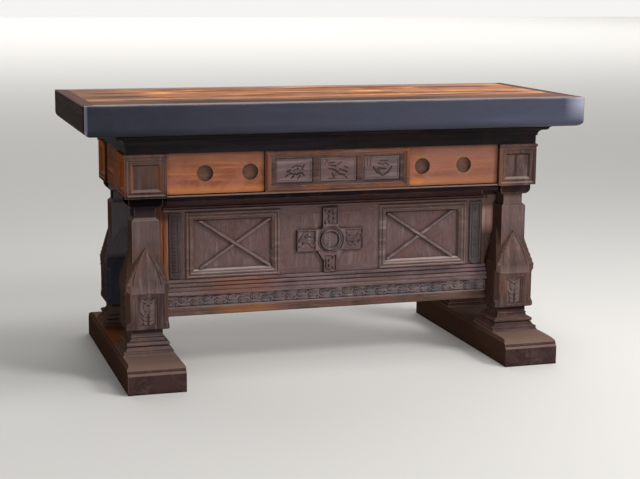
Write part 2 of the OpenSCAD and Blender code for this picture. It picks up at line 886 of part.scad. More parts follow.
// Outline of the centre cross: four arms on a round hub, with sloping shoulders
// between the side arms and the lower arm
module cross_plan() {
    circle(cross_hub);
    for (a = [0:90:270])
        rotate(a) translate([0, -cross_w(a) / 2]) square([cross_end(a), cross_w(a)]);
    shoulder = [cross_hub, -cross_side_w / 2];
    polygon([[0, 0], shoulder, [cross_foot_w / 2, -cross_hub - 18],
             [-cross_foot_w / 2, -cross_hub - 18], [-shoulder[0], shoulder[1]]]);
}

module centre_cross() {
    rim = 4;
    sink = 3;
    ring_r = 33;
    arm_sunk = 40;
    color("dimgray") translate([0, panel_y, (z_ring + z_ring_top) / 2]) rotate([90, 0, 0]) {
        difference() {
            linear_extrude(cross_t) cross_plan();
            for (a = [0:90:270])
                rotate(a) translate([cross_end(a) - rim - arm_sunk, rim - cross_w(a) / 2,
                                     cross_t - sink])
                    cube([arm_sunk, cross_w(a) - 2 * rim, sink + over]);
            translate([0, 0, cross_t - sink]) cylinder(r = cross_hub - rim, h = sink + over);
        }
        translate([0, 0, cross_t - sink]) difference() {
            cylinder(r = ring_r, h = sink + 3);
            translate([0, 0, 2]) cylinder(r = ring_r - 7, h = sink + 3);
        }
    }
}

// Section of the ledge: a nosing, then three flat reeds stepping back to the frame
module ledge_section() {
    nosing = 13;
    reed = (ledge_h - nosing) / 3;
    r = reed / sqrt(2);
    back = (ledge_out - 4) / 3;
    polygon(concat(
        [[0, 0], [ledge_out - 2, 0], [ledge_out, 2], [ledge_out, nosing - 4],
         [ledge_out - 3, nosing]],
        [for (i = [0:2], p = arc([ledge_out - 2 - r - i * back, nosing + (i + 0.5) * reed],
                                 r, -45, 45, 4)) p],
        [[0, ledge_h]]));
}

module ledge_moulding() {
    color("dimgray") translate([0, panel_y, z_ledge])
        along_x(2 * panel_half) mirror([1, 0]) ledge_section();
}

// The strip that is carved with a running vine, between two fillets
module vine_strip() {
    t = 8;
    color("dimgray") translate([0, panel_y, z_vine]) difference() {
        span([-panel_half, -t, 0], [panel_half, 0, vine_h]);
        span([4 - panel_half, -2 * t, 4], [panel_half - 4, 4 - t, vine_h - 3]);
    }
}

// The moulding along the foot of the panel: a round nosing, a flat and a bevel
module panel_base_moulding() {
    r = min(base_mould_out / 2, base_mould_h * 0.3);
    neck = base_mould_out * 0.55;
    color("sienna") translate([0, panel_y, z_panel]) along_x(2 * panel_half)
        mirror([1, 0]) polygon(concat(
            [[0, 0], [base_mould_out - r, 0]],
            arc([base_mould_out - r, r], r, -90, 60, 6),
            [[neck + 2, 2 * r], [neck, 2 * r + 2], [neck, base_mould_h - 3],
             [neck - 2, base_mould_h], [0, base_mould_h]]));
}

// Carved strips planted on the end stiles: two reeds and a sunk band
module carved_strips() {
    x = panel_half - 20 - strip_w / 2;
    z0 = z_ring + 3;
    z1 = z_ring_top - 3;
    color("dimgray") for (s = [-1, 1])
        translate([s * x, panel_y, 0]) difference() {
            union() {
                span([-strip_w / 2, -strip_t, z0 + strip_w / 2], [strip_w / 2, 0, z1]);
                translate([0, 0, z0 + strip_w / 2]) rotate([90, 0, 0])
                    cylinder(d = strip_w, h = strip_t);
            }
            span([5 - strip_w / 2, -2 * strip_t, z0 + strip_w / 2],
                 [strip_w / 2 - 5, 2 - strip_t, z1 - 5]);
        }
}

// Strips that close the panel against the front posts, scribed to broach and shaft
module scribe_strips() {
    t = 22;
    reach = post_x - neck_w / 2;
    color("chocolate") for (right = [0, 1]) quarter(right, 0) difference() {
        span([-reach, panel_y, z_broach], [-panel_half, panel_y + t, z_frieze - fit]);
        translate([-post_x, -post_y, 0]) {
            square_stack([for (p = post_outline()) p + [fit, 0]]);
            broach(fit);
        }
    }
}

top_board(0);  // top_board_front
top_board(1);  // top_board_middle
top_board(2);  // top_board_back
top_edge_long(0);  // top_edge_front
top_edge_long(1);  // top_edge_back
top_edge_end(0);  // top_edge_left
top_edge_end(1);  // top_edge_right
bearer(-bearer_x, -1);  // bearer_left
bearer(0, 0);  // bearer_middle
bearer(bearer_x, 1);  // bearer_right
fascia_long(0);  // fascia_front
fascia_long(1);  // fascia_back
fascia_end(0);  // fascia_left
fascia_end(1);  // fascia_right
cornice();
post(0, 0);  // post_front_left
post(1, 0);  // post_front_right
post(0, 1);  // post_back_left
post(1, 1);  // post_back_right
plinth_mouldings(0);  // plinth_mouldings_left
plinth_mouldings(1);  // plinth_mouldings_right
foot(0);  // foot_left
foot(1);  // foot_right
frieze_end(0);  // frieze_end_left
frieze_end(1);  // frieze_end_right
frieze_back();
drawer_rail();
frieze_centre_panel();
frieze_centre_mouldings();
drawer_runners(0);  // drawer_left_runners
drawer_runners(1);  // drawer_right_runners
drawer_kickers();
drawer_front(0);  // drawer_left_front
drawer_sides(0);  // drawer_left_sides
drawer_back(0);  // drawer_left_back
drawer_bottom(0);  // drawer_left_bottom
drawer_cups(0);  // drawer_left_cups
drawer_front(1);  // drawer_right_front
drawer_sides(1);  // drawer_right_sides
drawer_back(1);  // drawer_right_back
drawer_bottom(1);  // drawer_right_bottom
drawer_cups(1);  // drawer_right_cups
panel_stile(0);  // panel_stile_left
panel_stile(1);  // panel_stile_right
panel_muntins();
panel_top_rail();
panel_bottom_rail();
panel_field(-1);  // panel_field_left
panel_field_centre();
panel_field(1);  // panel_field_right
panel_field_mouldings();
saltire(-1);  // saltire_left
saltire(1);  // saltire_right
centre_cross();
ledge_moulding();
vine_strip();
panel_base_moulding();
carved_strips();
scribe_strips();
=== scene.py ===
import itertools
import json
import math
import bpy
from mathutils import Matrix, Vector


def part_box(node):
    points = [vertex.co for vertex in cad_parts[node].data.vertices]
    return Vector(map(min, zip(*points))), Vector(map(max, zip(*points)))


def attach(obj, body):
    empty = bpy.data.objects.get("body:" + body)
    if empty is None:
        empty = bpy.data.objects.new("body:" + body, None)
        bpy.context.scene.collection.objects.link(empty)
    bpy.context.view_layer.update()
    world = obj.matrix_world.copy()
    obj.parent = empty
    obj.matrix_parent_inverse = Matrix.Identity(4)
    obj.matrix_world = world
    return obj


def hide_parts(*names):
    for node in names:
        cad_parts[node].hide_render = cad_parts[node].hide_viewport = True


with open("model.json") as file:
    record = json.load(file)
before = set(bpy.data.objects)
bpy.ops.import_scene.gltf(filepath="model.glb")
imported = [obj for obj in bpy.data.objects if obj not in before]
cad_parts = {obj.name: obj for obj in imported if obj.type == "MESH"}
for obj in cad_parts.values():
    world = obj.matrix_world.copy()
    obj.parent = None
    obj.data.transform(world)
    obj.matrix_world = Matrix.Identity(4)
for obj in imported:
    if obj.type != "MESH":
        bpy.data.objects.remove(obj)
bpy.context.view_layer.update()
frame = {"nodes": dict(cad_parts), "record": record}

from fnmatch import fnmatch

import bpy
import numpy as np
from mathutils import Matrix

bl_info = {
    "name": "Communion table",
    "version": (1, 0, 0),
    "blender": (4, 5, 0),
    "location": "View3D > Sidebar > Communion table",
    "description": "Finishes and carving of an oak communion table",
    "category": "Add Mesh",
}

MM = 0.001
UP = np.array([0.0, 0.0, 1.0])
FRONT = (0, -1, 0)  # the way that the table's front looks


# ---- Colours and nodes ----


def linear(code):
    """Linear light of an sRGB hex colour."""
    parts = [int(code[i : i + 2], 16) / 255 for i in (0, 2, 4)]
    return [c / 12.92 if c <= 0.04045 else ((c + 0.055) / 1.055) ** 2.4 for c in parts]


def add(tree, kind, inputs=None, **settings):
    """Adds one shader node and gives its outputs: settings are its own properties, and
    inputs holds for each socket a value or the socket that is linked to it."""
    made = tree.nodes.new("ShaderNode" + kind)
    for name, value in settings.items():
        setattr(made, name, value)
    for name, value in (inputs or {}).items():
        socket = made.inputs[name]
        if isinstance(value, bpy.types.NodeSocket):
            tree.links.new(value, socket)
        else:
            socket.default_value = value
    return made.outputs


def rgba(colour):
    """A colour with full cover: a setting of the finish, or else an sRGB hex colour."""
    chosen = getattr(bpy.context.scene.table_finish, colour, None)
    return (*(chosen or linear(colour)), 1.0)


PORE_DEPTH = 1.2  # depth of the bump of the pores and the figure, mm


def wood(name, along, tones, parts=(), **settings):
    """A sawn or carved wood surface. tones are its dark, middle and light colours and
    the colour of its patches. parts are the places with another colour: the axis that
    they face and its sign, the box in which they lie and the reach of its soft edge in
    millimetres, the colour and how far it covers."""
    kind = {**WOOD_SETTINGS, **settings}
    dark, middle, light, tint = map(rgba, tones)
    material = bpy.data.materials.new(name)
    material.use_nodes = True
    tree = material.node_tree
    tree.nodes.clear()
    space = add(tree, "TexCoord")
    facing = add(tree, "SeparateXYZ", {0: space["Normal"]})
    stretch = [1 / kind["stretch"] if axis == along else 1 for axis in "xyz"]
    start = [kind["seed"] * share for share in (1, 0.7, 1.3)]
    drawn = {"Vector": space["Object"], "Scale": stretch, "Location": start}
    grain = add(tree, "Mapping", drawn)[0]
    noises = []
    for vector, spacing, detail, twist in (
        (grain, kind["pore"], 3, 0),
        (grain, kind["figure"], 5, 0.9),
        (space["Object"], kind["patch"], 4, 0.3),
    ):
        look = {"Vector": vector, "Scale": 1 / (spacing * MM), "Detail": detail}
        look |= {"Roughness": 0.6, "Distortion": twist}
        noises.append(add(tree, "TexNoise", look))
    swirl = {0: noises[1]["Color"], 1: (0.5, 0.5, 0.5)}
    swirl = add(tree, "VectorMath", swirl, operation="SUBTRACT")[0]
    drift = [reach * MM for reach in kind["drift"]]
    strayed = {0: swirl, 1: drift, 2: space["Object"]}
    strayed = add(tree, "VectorMath", strayed, operation="MULTIPLY_ADD")[0]
    place = add(tree, "SeparateXYZ", {0: strayed})
    pores, rings, patches = (noise["Fac"] for noise in noises)
    soft = kind["softness"]
    body = dark
    for source, low, high, tone in (
        (rings, 0.5 - soft, 0.5 + soft, middle),
        (rings, 0.52, 0.52 + 1.3 * soft, light),
        (patches, 0.46, 0.62, tint),
    ):
        share = add(tree, "MapRange", {0: source, 1: low, 2: high})[0]
        body = add(tree, "Mix", {0: share, 6: body, 7: tone}, data_type="RGBA")[2]
    vessels = {0: pores, 1: 0.36, 2: 0.56, 3: 1 - kind["contrast"]}
    shade = add(tree, "MapRange", vessels)[0]
    body = add(tree, "VectorMath", {0: body, "Scale": shade}, operation="SCALE")[0]
    # Parts lay other colours over the wood: some are its own tone, and many are painted
    # light and painted shade on faces that look one way or where a shadow falls
    for (way, sign), box, reach, tone, cover in parts:
        ends = []
        for axis, (low, high) in box.items():
            ends.append((place[axis], (low - reach) * MM, low * MM))
            ends.append((place[axis], (high + reach) * MM, high * MM))
        if way is not None:
            looks = {0: facing[way], 1: sign}
            turned_so = "MULTIPLY" if sign else "ABSOLUTE"
            ends.append((add(tree, "Math", looks, operation=turned_so)[0], 0.5, 0.7))
        uneven = {0: pores, 1: 0.3, 2: 0.7, 3: 0.75 * cover, 4: cover}
        share = add(tree, "MapRange", uneven)[0]
        for source, low, high in ends:
            inside = add(tree, "MapRange", {0: source, 1: low, 2: high})[0]
            share = add(tree, "Math", {0: share, 1: inside}, operation="MULTIPLY")[0]
        under = {0: share, 6: body, 7: rgba(tone)}
        body = add(tree, "Mix", under, data_type="RGBA")[2]
    plain = add(tree, "NewGeometry")["Normal"]
    rounded = add(tree, "Bevel", {"Radius": kind["wear_width"] * MM}, samples=4)[0]
    turn = add(tree, "VectorMath", {0: plain, 1: rounded}, operation="DOT_PRODUCT")
    reach = {"Distance": kind["recess_depth"] * MM}
    corner = add(tree, "AmbientOcclusion", reach, samples=6)["AO"]
    rub = kind["wear"]
    for source, low, high, least in (
        (turn["Value"], 0.995, 0.86, 0),
        (corner, 0.35, 0.85, 0),
        (patches, 0.36, 0.58, kind["least_wear"]),
    ):
        share = add(tree, "MapRange", {0: source, 1: low, 2: high, 3: least})[0]
        rub = add(tree, "Math", {0: rub, 1: share}, operation="MULTIPLY")[0]
    # Grime and painted shade: the colour goes towards the recess colour where ambient
    # occlusion finds corners, recesses and gaps between parts
    grime_and_shade = add(tree, "MapRange", {0: corner, 1: 0.85, 2: 0.3, 4: kind["dirt_and_shade"]})[0]
    for share, tone in ((rub, "edge"), (grime_and_shade, "recess")):
        over = {0: share, 6: body, 7: rgba(kind[tone])}
        body = add(tree, "Mix", over, data_type="RGBA")[2]
    relief = {0: pores, 1: 0.5, 2: rings}
    relief = add(tree, "Math", relief, operation="MULTIPLY_ADD")[0]
    relief = {"Strength": kind["bump"], "Distance": PORE_DEPTH * MM, "Height": relief}
    low, high = kind["gloss"]
    skin = {
        "Base Color": body,
        "Roughness": add(tree, "MapRange", {0: rings, 3: high, 4: low})[0],
        "Normal": add(tree, "Bump", relief)[0],
        "Specular IOR Level": kind["shine"],
    }
    shader = add(tree, "BsdfPrincipled", skin)
    add(tree, "OutputMaterial", {"Surface": shader[0]})
    return material


def flat_finish(name, colour, roughness):
    """A plain matt surface, for the floor of the studio."""
    material = bpy.data.materials.new(name)
    material.use_nodes = True
    shader = material.node_tree.nodes["Principled BSDF"]
    shader.inputs["Base Color"].default_value = rgba(colour)
    shader.inputs["Roughness"].default_value = roughness
    return material


# ---- Surfaces ----


class Ground:
    """A flat place to carve on: origin in millimetres, the way it looks and its up."""

    def __init__(self, origin, out, up=UP):
        self.origin = np.array(origin, float)
        self.out = np.array(out, float) / np.linalg.norm(out)
        self.up = np.array(up, float) / np.linalg.norm(up)
        self.along = np.cross(self.up, self.out)

    def points(self, u, v, rise):
        """origin + u along + v up + rise outwards."""
        return (
            self.origin
            + u[..., None] * self.along
            + v[..., None] * self.up
            + rise[..., None] * self.out
        )


def carve(
    name, ground, size, form, kind, step=0, back=1, drop=-math.inf
):
    """Makes a carved sheet of the table: form(u, v) gives the rise over the ground at
    each point of a grid of that size centred on it, and a last row and column all round
    go down by back, so the sheet's edge is closed to the ground. Cells that lie wholly
    at or below the rise drop are left out. kind is a wood and the way of its grain, and
    step the spacing of the grid, or 0 for that of the settings."""
    step = step or bpy.context.scene.table_carving.fineness / MM
    u, v = (np.linspace(-wide / 2, wide / 2, int(wide / step) + 1) for wide in size)
    u, v = np.meshgrid(u, v)
    rise = np.pad(form(u, v), 1, constant_values=-back)
    u, v = np.pad(u, 1, mode="edge"), np.pad(v, 1, mode="edge")
    high = rise > drop
    keep = high[:-1, :-1] | high[:-1, 1:] | high[1:, 1:] | high[1:, :-1]
    index = np.arange(rise.size).reshape(rise.shape)
    quads = (index[:-1, :-1], index[:-1, 1:], index[1:, 1:], index[1:, :-1])
    used, corners = np.unique(np.stack(quads, axis=-1)[keep], return_inverse=True)
    points = ground.points(u, v, rise).reshape(-1, 3)[used] * MM
    starts = np.arange(0, corners.size, 4, dtype=np.int32)
    mesh = bpy.data.meshes.new(name)
    mesh.vertices.add(len(points))
    mesh.vertices.foreach_set("co", points.astype(np.float32).ravel())
    mesh.loops.add(corners.size)
    mesh.loops.foreach_set("vertex_index", corners.astype(np.int32).ravel())
    mesh.polygons.add(len(starts))
    mesh.polygons.foreach_set("loop_start", starts)
    mesh.polygons.foreach_set("use_smooth", np.full(len(starts), True))
    mesh.update(calc_edges=True)
    mesh.materials.append(MATERIALS[kind])
    piece = bpy.data.objects.new(name, mesh)
    bpy.context.scene.collection.objects.link(piece)
    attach(piece, "table")
    return piece


# ---- Carved forms: each gives a rise in millimetres at arrays of points ----


def round_top(gap, half):
    """A half circle over the distance from a line: 1 on it, 0 from half outwards."""
    return np.sqrt(np.clip(1 - (gap / half) ** 2, 0, 1))


def turned(u, v, at, angle):
    """Coordinates along and across a line from at, at an angle in degrees."""
    a = math.radians(angle)
    du, dv = u - at[0], v - at[1]
    return du * math.cos(a) + dv * math.sin(a), dv * math.cos(a) - du * math.sin(a)


def leaf(u, v, at, angle, length, width, high, ribs):
    """A pointed leaf: across it the rise is a half ellipse whose width grows and fades
    as the sine of the way along, less a vein down its middle and slanting ribs."""
    p, q = turned(u, v, at, angle)
    t = np.clip(p / length, 0, 1)
    half = width / 2 * np.sin(np.pi * t**0.75) + 1e-6
    inside = np.clip(1 - (q / half) ** 2, 0, 1) * ((p > 0) & (p < length))
    vein = np.exp(-((q / 0.9) ** 2))
    ribbing = np.cos(2 * np.pi * (p - 0.9 * np.abs(q)) / ribs)
    return high * np.sqrt(inside) * (0.86 - 0.34 * vein + 0.14 * ribbing)


def scroll(u, v, at, radius, angle, hand, high, turns, half):
    """A spiral strand: its centre line draws in from radius to a quarter of it over its
    turns, and its rise is a half circle across it, with a round eye in the middle."""
    du, dv = u - at[0], v - at[1]
    r = np.hypot(du, dv)
    way = (hand * (np.arctan2(dv, du) - math.radians(angle))) % (2 * np.pi)
    gap = np.full(u.shape, 1e3)
    for k in range(int(turns) + 1):
        part = (way + 2 * np.pi * k) / (2 * np.pi * turns)
        line = radius * (1 - 0.75 * part)
        gap = np.where(part <= 1, np.minimum(gap, np.abs(r - line)), gap)
    return high * np.maximum(round_top(gap, half), round_top(r, radius * 0.3))


def strand(u, v, start, end, half, high):
    """A straight strand with a round top: a half circle over the distance from the
    line between start and end."""
    way = np.subtract(end, start)
    du, dv = u - start[0], v - start[1]
    t = np.clip((du * way[0] + dv * way[1]) / (way @ way), 0, 1)
    gap = np.hypot(du - t * way[0], dv - t * way[1])
    return high * round_top(gap, half)


def step_up(distance, soft):
    """0 outside, 1 inside and a smooth rise between, over soft millimetres."""
    t = np.clip(0.5 - distance / soft, 0, 1)
    return t * t * (3 - 2 * t)


def frame_box(node):
    """Corners of a solid of the table, in millimetres."""
    return tuple(np.array(corner, float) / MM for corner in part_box(node))


# ---- Settings ----


def colour(name, description, code):
    """A colour of the settings, from an sRGB hex code."""
    looks = {"subtype": "COLOR", "min": 0, "max": 1, "default": linear(code)}
    return bpy.props.FloatVectorProperty(name=name, description=description, **looks)


class TableFinish(bpy.types.PropertyGroup):
    """Colours of the table's woods."""

    oak_dark: colour("Carved oak, dark", "Fumed oak between its grain", "3c2d2b")
    oak: colour("Carved oak", "Fumed and waxed oak", "5f4d4a")
    oak_light: colour("Carved oak, light", "Rubbed parts of the fumed oak", "786564")
    oak_edge: colour("Carved oak, edges", "Arrises that hands have rubbed", "a58f88")
    # Colour of old wax and dust in the corners, which also stands for painted shade
    # there
    grime_and_shade: colour("Grime", "Old wax and dust in the corners", "150b08")
    warm: colour("Warm oak", "Waxed oak of the drawer fronts", "9e5c3c")
    warm_light: colour("Warm oak, light", "Light figure of the drawer fronts", "bd8048")
    warm_dark: colour("Warm oak, dark", "Dark figure of the drawer fronts", "6e3a24")
    ebony: colour("Ebonised wood", "Blue-black stain", "2c2e3b")
    ebony_light: colour("Ebonised wood, light", "Rubbed stain", "3b3d4c")
    board: colour("Top boards", "Oiled boards of the top", "cb7c47")
    board_light: colour("Top boards, light", "Light figure of the top", "f0b070")
    board_dark: colour("Top boards, dark", "Dark streaks of the top", "6e3a20")


class TableCarving(bpy.types.PropertyGroup):
    """Sizes of the carving."""

    fineness: bpy.props.FloatProperty(
        name="Fineness",
        description="Spacing of the points of the carved sheets",
        unit="LENGTH",
        default=1.1 * MM, min=0.6 * MM, max=4 * MM,
    )
    vine_wave: bpy.props.FloatProperty(
        name="Vine wave",
        description="Length of one wave of the vine",
        unit="LENGTH",
        default=78 * MM, min=40 * MM, max=140 * MM,
    )


class TableStudio(bpy.types.PropertyGroup):
    """Settings of the studio."""

    key_power: bpy.props.FloatProperty(
        name="Key light",
        description="Power of the large lamp at the front right",
        subtype="POWER",
        default=145,
        min=0,
    )


# ---- Materials of the table ----


MATERIALS = {}
X, Y, Z = 0, 1, 2
ANY = (None, 0)  # a surface that looks any way
FAR = 3000  # farther than every part of the table, mm
WOOD_SETTINGS = {
    "edge": "oak_edge",  # colour of rubbed arrises
    "recess": "grime_and_shade",  # colour of the grime and painted shade in corners
    "pore": 1.6,  # spacing of the vessel lines, mm
    "figure": 22,  # spacing of the grain figure, mm
    "patch": 160,  # spacing of the uneven patches, mm
    "stretch": 14,  # how much longer the grain runs than it is apart
    "softness": 0.2,  # half width of the change from dark to middle tone
    "contrast": 0.3,  # darkness of the vessel lines
    "wear": 0.7,  # strength of the rubbing on arrises
    "least_wear": 0.25,  # share of it where the wood is least worn
    "wear_width": 2.2,  # reach of the rubbing, mm
    "dirt_and_shade": 0.85,  # strength of the grime and painted shade in corners
    "recess_depth": 14,  # reach of the grime and painted shade, mm
    "gloss": (0.5, 0.68),  # roughness of light and dark grain
    "shine": 0,  # sheen of its wax
    "bump": 0.25,
    "drift": (0, 0, 0),  # how far the edges of its parts stray with the figure, mm
    "seed": 0.3,
}
STREAKS = (
    # Mineral streaks of the top: middle and half length in mm, and colour
    (-520, -150, 100, "3c1c0e"),
    (-640, 120, 90, "2c2420"),
    (-660, -20, 70, "43291c"),
    (-120, 40, 120, "7c4422"),
    (420, -120, 70, "3c2014"),
    (560, 190, 110, "40261c"),
    (640, -60, 60, "54402c"),
)
OAK = ("oak_dark", "oak", "oak_light", "6b4c40")
LEFT, RIGHT = (-FAR, -300), (300, FAR)  # sides of the table along X, mm
SHADE_BEHIND_RIGHT_POST = "20160f"  # painted shade behind the right post
BACK_POST_SHADE = "34404f"  # blue-black painted shade on the front of the back left post
BACK_POST_GREY = "7c7880"  # and paler grey higher up on it
